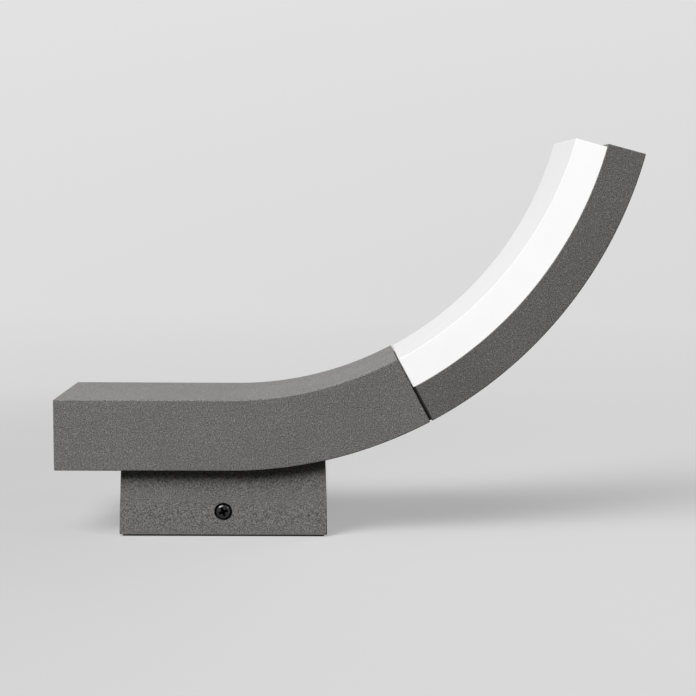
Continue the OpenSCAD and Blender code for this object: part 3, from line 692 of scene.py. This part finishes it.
def plated(name, colour, roughness, lay=(1, 1, 1)):
    """Metal with faint rubbing marks, stains and a worn sheen."""
    material, shader, place = material_nodes(name, colour, roughness, lay, Metallic=1.0)
    marks, stain = noise(place, 0.35 * MM, 4, 0.6), noise(place, 3 * MM, 3)
    feed(shader, Base_Color=tinted(colour, stain.vary(0.88, 1.06)),
         Roughness=marks.vary(roughness * 0.75, roughness * 1.3), Normal=bumped(marks, 0.012 * MM))
    return material


def moulded(name, colour, roughness, gloss=0.5, grain=0.3 * MM, depth=0.012 * MM):
    """Moulded plastic or rubber with a fine grain and slight mottling."""
    material, shader, place = material_nodes(name, colour, roughness, Specular_IOR_Level=gloss)
    fine, broad = noise(place, grain, 3, 0.6), noise(place, 6 * MM)
    sheen = fine.vary(roughness * 0.85, min(1, roughness * 1.15))
    feed(shader, Base_Color=tinted(colour, broad.vary(0.93, 1.05)), Roughness=sheen,
         Normal=bumped(fine, depth))
    return material


def solder_mask(name, colour):
    """White board mask with shallow copper tracks under it."""
    material, shader, place = material_nodes(name, colour, 0.34)
    wave = value(place.tree, "ShaderNodeTexWave", place, 60, output="Fac", bands_direction="Y")
    tracks = wave.span(0.42, 0.5, 0.0, 1.0)
    feed(shader, Base_Color=tinted(colour, tracks.span(0, 1, 0.95, 1.0)),
         Roughness=noise(place, 0.4 * MM).vary(0.28, 0.42), Normal=bumped(tracks, 0.03 * MM))
    return material


# Each finish has its slot, the function that makes its material, and that function's values.
FINISHES = {
    "coat": ("anthracite", powder_coat, "anthracite powder coat", False),
    "head coat": ("anthracite", powder_coat, "anthracite powder coat, head", True),
    "opal": ("opal", opal, "opal plastic", (0.4, 0.4, 0.4)),
    "black steel": ("black_steel", plated, "black oxide steel", (0.045, 0.045, 0.047), 0.2),
    "zinc": ("zinc_steel", plated, "zinc plated steel", (0.58, 0.6, 0.62), 0.32),
    "aluminium": ("raw_aluminium", plated, "milled aluminium", (0.7, 0.71, 0.72), 0.3, (1, 6, 1)),
    "brass": ("brass", plated, "plain brass", (0.72, 0.5, 0.2), 0.28),
    # Painted shade: the rubber is made darker than real rubber, so that the gaps and rings it fills
    # stay as dark as shade.
    "rubber": ("black_rubber", moulded, "black rubber", (0.008,) * 3, 0.75, 0.1),
    "silicone": ("silicone", moulded, "silicone", (0.6, 0.6, 0.57), 0.45),
    "pad": ("thermal_pad", moulded, "thermal pad", (0.27, 0.33, 0.4), 0.8, 0.5, *mm(0.5, 0.03)),
    "board": ("board_white", solder_mask, "white solder mask", (0.84, 0.84, 0.82)),
    "phosphor": ("led", moulded, "phosphor", (0.9, 0.68, 0.12), 0.4, 0.5, 0.1 * MM),
    "case": ("case_white", moulded, "white case", (0.75, 0.75, 0.73), 0.42),
    "cream": ("block_cream", moulded, "cream terminal plastic", (0.68, 0.65, 0.56), 0.4),
    "brown": ("wire_input", moulded, "brown sheath", (0.1, 0.045, 0.02), 0.4),
    "blue": ("wire_input", moulded, "blue sheath", (0.03, 0.09, 0.33), 0.4),
    "green": ("wire_earth", moulded, "green and yellow sheath", (0.3, 0.42, 0.04), 0.4),
    "red": ("wire_output", moulded, "red sheath", (0.38, 0.02, 0.015), 0.4),
    "black": ("wire_output", moulded, "black sheath", (0.015, 0.015, 0.015), 0.4),
}
made_materials = {}


def material_of(finish):
    """The material of a finish, made once."""
    if finish not in made_materials:
        _, make, *values = FINISHES[finish]
        made_materials[finish] = make(*values)
    return made_materials[finish]


def arm_skin(place, inset):
    """Loop of the outer skin, drawn in by an inset."""
    s = shape()
    return bar_loop(place, s.width / 2 - inset, ARM_LOW.z + inset,
                    ARM_LOW.z + s.thickness - inset, s.edge - inset * 0.9)


def box_screw_spots():
    """Middles of the box screws on the straight bar."""
    spots = []
    for corners in solids_of("box_screws"):
        x = corners[:, 0].mean()
        if x > shape().bend_start:
            x = along(angle_at(middle(corners)))
        spots.append((x, middle(corners)[1]))
    return spots


def driver_screw_spots():
    """Middles of the driver's screws."""
    return [(middle(corners)[0], 0) for corners in solids_of("driver_screws")]


def arm_bosses():
    """Screw bosses on the floor and in the corners of the mouth."""
    s = shape()
    floor, ceiling = ARM_LOW.z + s.arm_wall, ARM_LOW.z + s.thickness - s.arm_wall
    radius, rise, play, root = *mm(3.8, 3.6, 0.05), ARM_LOW.z + s.arm_wall / 2
    parts = posts(box_screw_spots(), radius, root, floor + rise, 40)
    parts += posts(driver_screw_spots(), radius, root, DRIVER_FLOOR - play, 40)
    start, end = along(s.arm_end) - 19 * MM, along(s.arm_end) - 10.5 * MM
    half, height, corner = mm(4.5, 9, 0.8)
    for side in (-1, 1):
        for low in (floor - 1 * MM, ceiling - 8 * MM):
            rows = [(low, 0, half), (low + height, 0, half)]
            block = loft(tray_loops(rows, start, end, corner, 5))
            shift = side * (s.width / 2 - s.arm_wall - 3.5 * MM)
            parts.append(placed(block, Matrix.Translation((0, shift, 0))))
    return joined(parts)


def arm_holes():
    """Thread holes of the bosses and the hole for the lead bush."""
    low, over = ARM_LOW.z, 1 * MM
    top = low + shape().arm_wall
    parts = posts(box_screw_spots(), 2 * MM, low - over, top + 2.6 * MM, 32)
    parts += posts(driver_screw_spots(), 1.5 * MM, DRIVER_FLOOR - 5.5 * MM, DRIVER_FLOOR + over, 32)
    return joined([*parts, cylinder(4.5 * MM, low - over, top + over)])


class MakeArm(bpy.types.Operator):
    """Hollow arm casting: straight over the box, then bent, open at the joint"""

    bl_idname = "wall_light.arm"
    bl_label = "Arm casting"

    def execute(self, context):
        s = shape()
        mouth, lip, soft = along(s.arm_end), *mm(0.25, 1.2)
        straight = np.linspace(ARM_LOW.x, s.bend_start, 8)[1:]
        bent = np.linspace(s.bend_start, mouth - lip, 31)[1:]
        loops = [arm_skin(ARM_LOW.x + out, inset) for out, inset in rounding(s.end_edge, 5)]
        loops += [arm_skin(x, 0) for x in (*straight, *bent)]
        loops += [arm_skin(mouth - out, inset) for inset, out in rounding(lip, 5)[1:]]
        loops += [bar_loop(x, s.width / 2 - s.arm_wall, ARM_LOW.z + s.arm_wall,
                           ARM_LOW.z + s.thickness - s.arm_wall, soft)
                  for x in (mouth, *bent[-2::-1], s.bend_start, ARM_LOW.x + s.arm_wall)]
        make_bar("arm_casting", loops, arm_bosses(), [arm_holes()], "coat", "arm_housing")
        return {"FINISHED"}


def spigot(start):
    """Tongue that enters the joint plate."""
    s = shape()
    reach, root, half, edge = mm(6.6, 1.5, 17, 1)
    low, high = ARM_LOW.z + s.arm_wall + 0.8 * MM, ARM_LOW.z + s.back - 2 * MM
    return loft([bar_loop(x, half, low, high, edge) for x in (start - reach, start + root)])


def lead_hole(start):
    """Round hole for the two leads."""
    turned = (Matrix.Translation((start, 0, ARM_LOW.z + shape().back / 2))
              @ Matrix.Rotation(pi / 2, 4, "Y"))
    return placed(cylinder(4 * MM, -10 * MM, 6 * MM, 40), turned)


class MakeHeadBack(bpy.types.Operator):
    """Metal back of the head: a bent tray with closed ends that carries the LED board"""

    bl_idname = "wall_light.head_back"
    bl_label = "Metal back"

    def execute(self, context):
        s = shape()
        joint = s.bend_radius - s.back / 2
        start, end = along(s.arm_end + s.joint_gap / joint), along(s.head_end)
        low, rim, half = ARM_LOW.z, ARM_LOW.z + s.back, s.width / 2
        floor, wall = low + s.back_floor, s.end_wall * (s.bend_radius / joint)
        lip, corner, inner_corner, fillet = mm(0.2, 0.5, 1.5, 0.8)
        rows = [(low + rise, inset * 0.5, half - inset) for rise, inset in rounding(s.edge, 6)]
        rows += [(rim - drop, inset, half - inset) for inset, drop in rounding(lip, 6)]
        inner = [(height, wall, half - s.back_wall) for height in (rim, floor + fillet, floor)]
        loops = (tray_loops(rows, start, end, corner, HEAD_CUTS, (STEP_WIDTH, half - STEP_DEPTH))
                 + tray_loops(inner, start, end, inner_corner, HEAD_CUTS))
        make_bar("head_casting", loops, spigot(start), [lead_hole(start)], "head coat", "head_back")
        return {"FINISHED"}


class MakeDiffuser(bpy.types.Operator):
    """Opal trough that closes the head, with feet, lips and a tongue into the arm"""

    bl_idname = "wall_light.diffuser"
    bl_label = "Diffuser"

    def execute(self, context):
        s = shape()
        start_play, end_play, top_play, foot_play = mm(0.45, 1.1, 0.3, 0.05)
        tongue_play, lip, lip_play, lip_depth, end_lip = mm(0.3, 3.6, 0.7, 2.6, 1)
        corner, tongue_reach, tongue_rise, tongue_edge = mm(0.6, 3.4, 0.5, 0.5)
        inner_radius = s.bend_radius - s.thickness
        start = along(s.arm_end + start_play / inner_radius)
        end = along(s.head_end - end_play / inner_radius)
        top, foot = ARM_LOW.z + s.thickness - top_play, ARM_LOW.z + s.back + foot_play
        half, wall = s.width / 2 - s.diffuser_inset, s.diffuser_wall
        end_wall = wall * (s.bend_radius / inner_radius)
        lip_out, lip_in = (s.width / 2 - s.back_wall - inset for inset in (lip_play, lip_depth))
        gap = (s.end_wall + end_lip) * s.bend_radius / (s.bend_radius - s.back)
        rows = [(top - drop, inset, half - inset) for drop, inset in rounding(s.diffuser_edge, 6)]
        rows += [(foot, 0, half), (foot, gap, lip_out), (foot - lip, gap, lip_out),
                 (foot - lip, gap + wall, lip_in), (foot + wall, gap + wall, lip_in),
                 (foot + wall, end_wall, half - wall), (top - wall, end_wall, half - wall)]
        loops = tray_loops(rows, start, end, corner, HEAD_CUTS)
        tongue = [bar_loop(x, s.width / 2 - s.arm_wall - tongue_play, foot + tongue_rise,
                           ARM_LOW.z + s.thickness - s.arm_wall - tongue_play, tongue_edge)
                  for x in (along(s.arm_end) - tongue_reach, start + end_wall / 2)]
        make_bar("opal_diffuser", loops, loft(tongue), [], "opal", "diffuser")
        return {"FINISHED"}


class MakeWallBox(bpy.types.Operator):
    """Wall box: drafted sides, a top that follows the arm, bosses and sunk seats"""

    bl_idname = "wall_light.wall_box"
    bl_label = "Wall box"

    def execute(self, context):
        soften("wall_box", "coat", 0.35 * MM, 3)
        return {"FINISHED"}


def side_screw_profile(radius, height):
    """Half outline of the head: seat, upright side, a bevel that catches light and a low crown."""
    side, flat = 0.9 * radius, 0.72 * radius
    rise = height - (side - flat) * tan(radians(34)) - 0.12 * MM
    return [(0, 0.05 * MM), (side - 0.1 * MM, 0.05 * MM), (side, 0.15 * MM),
            (side, rise - 0.06 * MM), (side - 0.05 * MM, rise), (flat, height - 0.14 * MM),
            (0.96 * flat, height - 0.1 * MM), (0.8 * flat, height - 0.08 * MM),
            (0.4 * flat, height - 0.02 * MM), (0, height)]


def side_screw_ring(radius):
    """Black rubber ring that lies round the head, proud of the seat; its black stands for the
    shadow in the gap round the head.
    """
    low, high, wall, steps = 0.92 * radius, radius + 0.35 * MM, 0.35 * MM, 64
    centre, half = (low + high) / 2, (high - low) / 2
    section = [(low, 0.0), *[(centre + half * cos(a), wall + half * 0.8 * sin(a))
                             for a in np.linspace(pi, 0, 9)], (high, 0.0)]
    points = []
    for k in range(steps):
        turn = 2 * pi * k / steps
        points += [(r * cos(turn), r * sin(turn), h) for r, h in section]
    faces = [tuple(i % len(points) for i in face) for face in walls(steps, len(section))]
    return np.array(points), faces


class MakeSideScrews(bpy.types.Operator):
    """The two black screws in the sides of the box, with domed heads and cross recesses"""

    bl_idname = "wall_light.side_screws"
    bl_label = "Side screws"

    def execute(self, context):
        shank, pitch, root, height = mm(1.95, 0.7, 0.4, 2)
        recess_reach, recess_width, recess_depth, spin = *mm(2.1, 1.15, 1.6), radians(22)
        for side, name in ((-1, "front"), (1, "rear")):
            node = "side_screw_" + name
            low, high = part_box(node)
            radius, length = (high.x - low.x) / 2, high.y - low.y
            seat = min(abs(low.y), abs(high.y)) + length - height
            head = make_object("screw_" + name, lathe(side_screw_profile(radius, height), 64))
            carve(head, cross_cutter(recess_reach, recess_width, height, -recess_depth))
            absorb(head, thread(shank, root, height - length, -pitch, 24))
            aim = (Matrix.Translation((0, side * seat, (low.z + high.z) / 2))
                   @ Matrix.Rotation(radians(-90 * side), 4, "X"))
            head.data.transform(aim @ Matrix.Rotation(spin, 4, "Z"))
            face_outwards(head.data)
            # The black ring stands for the shadow in the gap round the head.
            ring = make_object("screw_ring_" + name, placed(side_screw_ring(radius), aim))
            for piece, finish in ((head, "black steel"), (ring, "rubber")):
                dress(piece, finish, node, name + "_screw")
        return {"FINISHED"}


class MakeGaskets(bpy.types.Operator):
    """Rubber gaskets, seals, the cable grommet and the lead bush"""

    bl_idname = "wall_light.gaskets"
    bl_label = "Gaskets and seals"

    def execute(self, context):
        for node in ("wall_gasket", "cable_grommet"):
            soften(node, "rubber", 0.12 * MM, body="bracket")
        for node in ("box_seal", "lead_bush", "joint_gasket"):
            soften(node, "rubber", 0.12 * MM)
        soften("diffuser_seal", "silicone", 0.1 * MM)
        soften("thermal_pad", "pad", 0.08 * MM)
        return {"FINISHED"}


class MakeWallPlate(bpy.types.Operator):
    """Zinc plated wall plate and its two upright tabs"""

    bl_idname = "wall_light.wall_plate"
    bl_label = "Wall plate"

    def execute(self, context):
        for node in ("wall_plate", "plate_tabs"):
            soften(node, "zinc", 0.2 * MM, body="bracket")
        return {"FINISHED"}


def thread_screws(node, way, finish):
    """Threaded screws in place of plain ones; way gives their aim at an angle of the bend."""
    solids = solids_of(node)
    ways = [Vector(way(max(0.0, angle_at(middle(corners))))) for corners in solids]
    seats, *sizes = zip(*(screw_place(*pair) for pair in zip(solids, ways)))
    shank, length, head, head_height = (size[0] for size in sizes)
    screw = pan_screw(shank, length, head, head_height, 0.7 * MM if shank > 1.7 * MM else 0.5 * MM)
    mesh = bpy.data.meshes.new(node + "_fine")
    mesh.from_pydata(seats, [], [])
    aim = mesh.attributes.new("aim", "FLOAT_VECTOR", "POINT")
    aim.data.foreach_set("vector", np.ravel(ways))
    points = add_object(node + "_fine", mesh)
    run_nodes(points, screw_nodes(), finish, Screw=screw,
              Seed=bpy.context.scene.wall_light_studio.spin_seed)
    bpy.data.objects.remove(screw)
    dress(points, finish, node)


class MakeFasteners(bpy.types.Operator):
    """Pan head screws at their places, their washers, and the joint plate that some of them hold"""

    bl_idname = "wall_light.fasteners"
    bl_label = "Fasteners"

    def execute(self, context):
        for node, way, finish in (
                ("box_screws", lambda a: (-sin(a), 0, cos(a)), "zinc"),
                ("joint_plate_screws", lambda a: (-cos(a), 0, -sin(a)), "zinc"),
                ("head_screws", lambda a: (-cos(a), 0, -sin(a)), "zinc"),
                ("led_board_screws", lambda a: (sin(a), 0, -cos(a)), "zinc"),
                ("driver_screws", lambda a: (0, 0, -1), "zinc"),
                ("terminal_block_screws", lambda a: (0, 0, 1), "zinc"),
                ("earth_screw", lambda a: (0, 0, 1), "brass")):
            thread_screws(node, way, finish)
        soften("box_washers", "zinc", 0.12 * MM)
        soften("joint_plate", "aluminium", 0.25 * MM)
        return {"FINISHED"}


class MakeTerminals(bpy.types.Operator):
    """Terminal block with its brass tubes and clamp screws, and the earth tag"""

    bl_idname = "wall_light.terminals"
    bl_label = "Terminal block"

    def execute(self, context):
        for node, finish, width in (
                ("terminal_block", "cream", 0.3 * MM), ("terminal_tubes", "brass", 0.1 * MM),
                ("terminal_screws", "zinc", 0.1 * MM), ("earth_tag", "zinc", 0.08 * MM)):
            soften(node, finish, width)
        return {"FINISHED"}


class MakeDriver(bpy.types.Operator):
    """White case of the LED driver"""

    bl_idname = "wall_light.driver"
    bl_label = "LED driver"

    def execute(self, context):
        soften("led_driver", "case", 0.6 * MM, 3)
        return {"FINISHED"}


class MakeLeads(bpy.types.Operator):
    """Insulated leads, one colour each, made round from the eight-sided CAD leads"""

    bl_idname = "wall_light.leads"
    bl_label = "Leads"

    def execute(self, context):
        reach_right, reach_left = mm(-7.5, 6.5)  # only one lead of each pair gets as far
        for node, finish, keep in (
                ("driver_input_leads", "blue", lambda c: c[:, 1].min() > reach_right),
                ("driver_input_leads", "brown", lambda c: c[:, 1].min() <= reach_right),
                ("driver_output_leads", "red", lambda c: c[:, 1].max() > reach_left),
                ("driver_output_leads", "black", lambda c: c[:, 1].max() <= reach_left),
                ("earth_lead", "green", None)):
            lead = copy_of(node, keep)
            lead.name = lead.data.name = f"{finish}_{node}"
            smooth = lead.modifiers.new("Round", "SUBSURF")
            smooth.levels = smooth.render_levels = 1
            settle(lead)
            dress(lead, finish, node)
        return {"FINISHED"}


def led_pattern():
    """One LED: a bevelled case with a round phosphor window."""
    half_length, half_width, corner = mm(1.75, 1.4, 0.2)
    bevel, rise, top = mm(0.12, 0.45, 0.6)
    rows = [(0, 0, half_width), (rise, 0, half_width), (top, bevel, half_width - bevel)]
    loops = tray_loops(rows, -half_length, half_length, corner, 3)
    window = [(0, 0.3), (1.15, 0.3), (1.15, 0.62), (0.9, 0.72), (0.4, 0.75), (0, 0.75)]
    dome = lathe([(radius * MM, height * MM) for radius, height in window], 24)
    return make_object("led_pattern", joined([loft(loops), dome]))


class MakeLightSource(bpy.types.Operator):
    """LED board with its two rows of LEDs and its connector"""

    bl_idname = "wall_light.light_source"
    bl_label = "LED board"

    def execute(self, context):
        soften("led_board", "board", 0.1 * MM)
        soften("led_connector", "case", 0.2 * MM)
        axis, solids = bend_axis(), solids_of("leds")
        middles = [middle(corners) for corners in solids]
        angles = [angle_at(place) for place in middles]
        foot = max(np.hypot(c[:, 0] - axis.x, c[:, 2] - axis.z).max() for c in solids)
        led = led_pattern()
        points = add_object("leds_fine", bpy.data.meshes.new("leds_fine"))
        run_nodes(points, led_nodes(), "phosphor", LED=led, Count=len(solids) // 2,
                  First_Angle=min(angles), Last_Angle=max(angles), Radius=foot,
                  Row_Offset=max(abs(m[1]) for m in middles), Centre_X=axis.x, Centre_Z=axis.z)
        bpy.data.objects.remove(led)
        dress(points, "phosphor", "leds")
        return {"FINISHED"}


def studio_floor(studio):
    """Floor and backdrop in one sweep."""
    reach, back, curve, height = 4.0, 1.6, 1.2, 4.0
    sweep = [(back + curve * sin(a), curve * (1 - cos(a))) for a in quarter(24)]
    profile = [(-reach, 0), (0, 0), *sweep, (back + curve, height)]
    mesh = bpy.data.meshes.new("floor")
    mesh.from_pydata([(x, y, z) for y, z in profile for x in (-reach, reach)], [],
                     [(2 * i, 2 * i + 1, 2 * i + 3, 2 * i + 2) for i in range(len(profile) - 1)])
    mesh.shade_smooth()
    mesh.materials.append(studio_paper(studio))
    add_object("floor", mesh)


def studio_paper(studio):
    """Pale paper: lit and shadowed near the object, painted darker towards the left, and further
    off the backdrop's tone, painted brighter further off, higher up and towards the left.
    """
    material, shader, place = material_nodes(
        "studio paper", (studio.floor,) * 3, 0.9, Specular_IOR_Level=0.1)
    tree = material.node_tree
    seen = camera_sees(tree)
    x, _, z = place.parts()
    distance = value(tree, "ShaderNodeVectorMath", object_place(tree, (1, 1, 0)),
                     output="Value", operation="LENGTH")
    # Painted light: the backdrop's tone gets brighter further off, higher up and towards the left.
    high = z.span(0.0, 0.6, 0.0, 0.04).maths("MAXIMUM", distance.span(2.2, 3.8, 0.0, 0.04))
    backdrop_light_slope = x * distance.span(1.5, 3.5, -0.03, 0.0)
    level = distance.span(0.2, 1.2, 0.0, 0.06) + high + backdrop_light_slope + studio.backdrop
    even = value(tree, "ShaderNodeEmission", Color=(*WHITE, 1), Strength=level)
    cover = distance.span(0.12, 0.5, studio.fade, 1.0)
    mix = value(tree, "ShaderNodeMixShader", seen * cover, Value(shader.outputs[0]), even)
    feed(tree.nodes["Material Output"], Surface=mix)
    # Painted shade: the floor is made darker towards the left and lighter towards the right.
    floor_shade_tilt = x.span(-0.15, 0.2, 0.76, 1.13)
    feed(shader, Base_Color=tinted(WHITE, floor_shade_tilt * seen.span(0, 1, studio.bounce, studio.floor)),
         Roughness=noise(place, 30 * MM).vary(0.86, 0.94))
    return material


def camera_sees(tree):
    """1 for what the camera sees, straight or in gloss and glass, and 0 for light on the object."""
    path = tree.nodes.new("ShaderNodeLightPath")
    camera, gloss, glass = (Value(path.outputs[f"Is {ray} Ray"])
                            for ray in ("Camera", "Glossy", "Transmission"))
    return camera.maths("MAXIMUM", gloss.maths("MAXIMUM", glass))


def add_lamp(name, place, size, power):
    """Square soft lamp aimed at the object."""
    data = bpy.data.lights.new(name, "AREA")
    data.size, data.energy = size, power
    lamp = add_object(name, data)
    lamp.location = place
    aim = Vector((0.05, 0, 0.06))
    lamp.rotation_euler = (aim - lamp.location).to_track_quat("-Z", "Y").to_euler()


def studio_world(studio):
    """Even light from all round, seen as a tone near the backdrop's."""
    world = bpy.data.worlds.new("studio")
    world.use_nodes = True
    tree, lift = world.node_tree, 0.1
    feed(tree.nodes["Background"], Color=(*WHITE, 1),
         Strength=camera_sees(tree).span(0, 1, studio.world, studio.backdrop + lift))
    bpy.context.scene.world = world


def add_camera():
    """The photograph's camera: its place, how it looks down and right and leans, and its lens."""
    place = Vector((43.05, -627.08, 141.53)) * MM
    down, right, lean = (radians(a) for a in (5.767, 0.902, 0.359))
    data = bpy.data.cameras.new("camera")
    data.sensor_width, data.lens = 36, 74.43
    data.clip_start, data.clip_end = 0.01, 30
    camera = add_object("camera", data)
    camera.matrix_world = (Matrix.Translation(place) @ Matrix.Rotation(-right, 4, "Z")
                           @ Matrix.Rotation(pi / 2 - down, 4, "X") @ Matrix.Rotation(lean, 4, "Z"))
    bpy.context.scene.camera = camera


class MakeStage(bpy.types.Operator):
    """Pale floor that turns up into a backdrop, the lamps and the camera"""

    bl_idname = "wall_light.stage"
    bl_label = "Studio"

    def execute(self, context):
        studio = context.scene.wall_light_studio
        studio_floor(studio)
        add_lamp("Key", (-0.7, -0.8, 1.3), 1.0, studio.key)
        add_lamp("Fill", (-1.05, -0.97, 1.15), 0.8, studio.fill)
        add_lamp("Side", (1.1, -0.55, 0.9), 0.5, studio.side)
        add_lamp("Rear", (1.15, 0.95, 0.45), 0.8, studio.rear)
        studio_world(studio)
        add_camera()
        context.scene.view_settings.view_transform = "Standard"
        return {"FINISHED"}


class WallLightPanel(bpy.types.Panel):
    """Lists the pieces of the wall light and their settings"""

    bl_idname = "VIEW3D_PT_wall_light"
    bl_label = "Wall Light"
    bl_space_type = "VIEW_3D"
    bl_region_type = "UI"
    bl_category = "Wall Light"

    def draw(self, context):
        for piece in PIECES:
            self.layout.operator(piece.bl_idname)
        for group in GROUPS:
            settings = getattr(context.scene, group)
            column = self.layout.column(align=True)
            for name in settings.bl_rna.properties.keys():
                if name not in ("rna_type", "name"):
                    column.prop(settings, name)


PIECES = (
    MakeArm, MakeHeadBack, MakeDiffuser, MakeWallBox, MakeSideScrews, MakeGaskets, MakeWallPlate,
    MakeFasteners, MakeTerminals, MakeDriver, MakeLeads, MakeLightSource, MakeStage,
)
GROUPS = {
    "wall_light_shape": WallLightShape,
    "wall_light_finish": WallLightFinish,
    "wall_light_studio": WallLightStudio,
}


def register():
    for group in (*GROUPS.values(), *PIECES, WallLightPanel):
        bpy.utils.register_class(group)
    for name, group in GROUPS.items():
        setattr(bpy.types.Scene, name, PointerProperty(type=group))


def unregister():
    for name in GROUPS:
        delattr(bpy.types.Scene, name)
    for group in reversed((*GROUPS.values(), *PIECES, WallLightPanel)):
        bpy.utils.unregister_class(group)


def main():
    register()
    for piece in PIECES:
        getattr(bpy.ops.wall_light, piece.bl_idname.split(".")[1])()


if __name__ == "__main__":
    main()
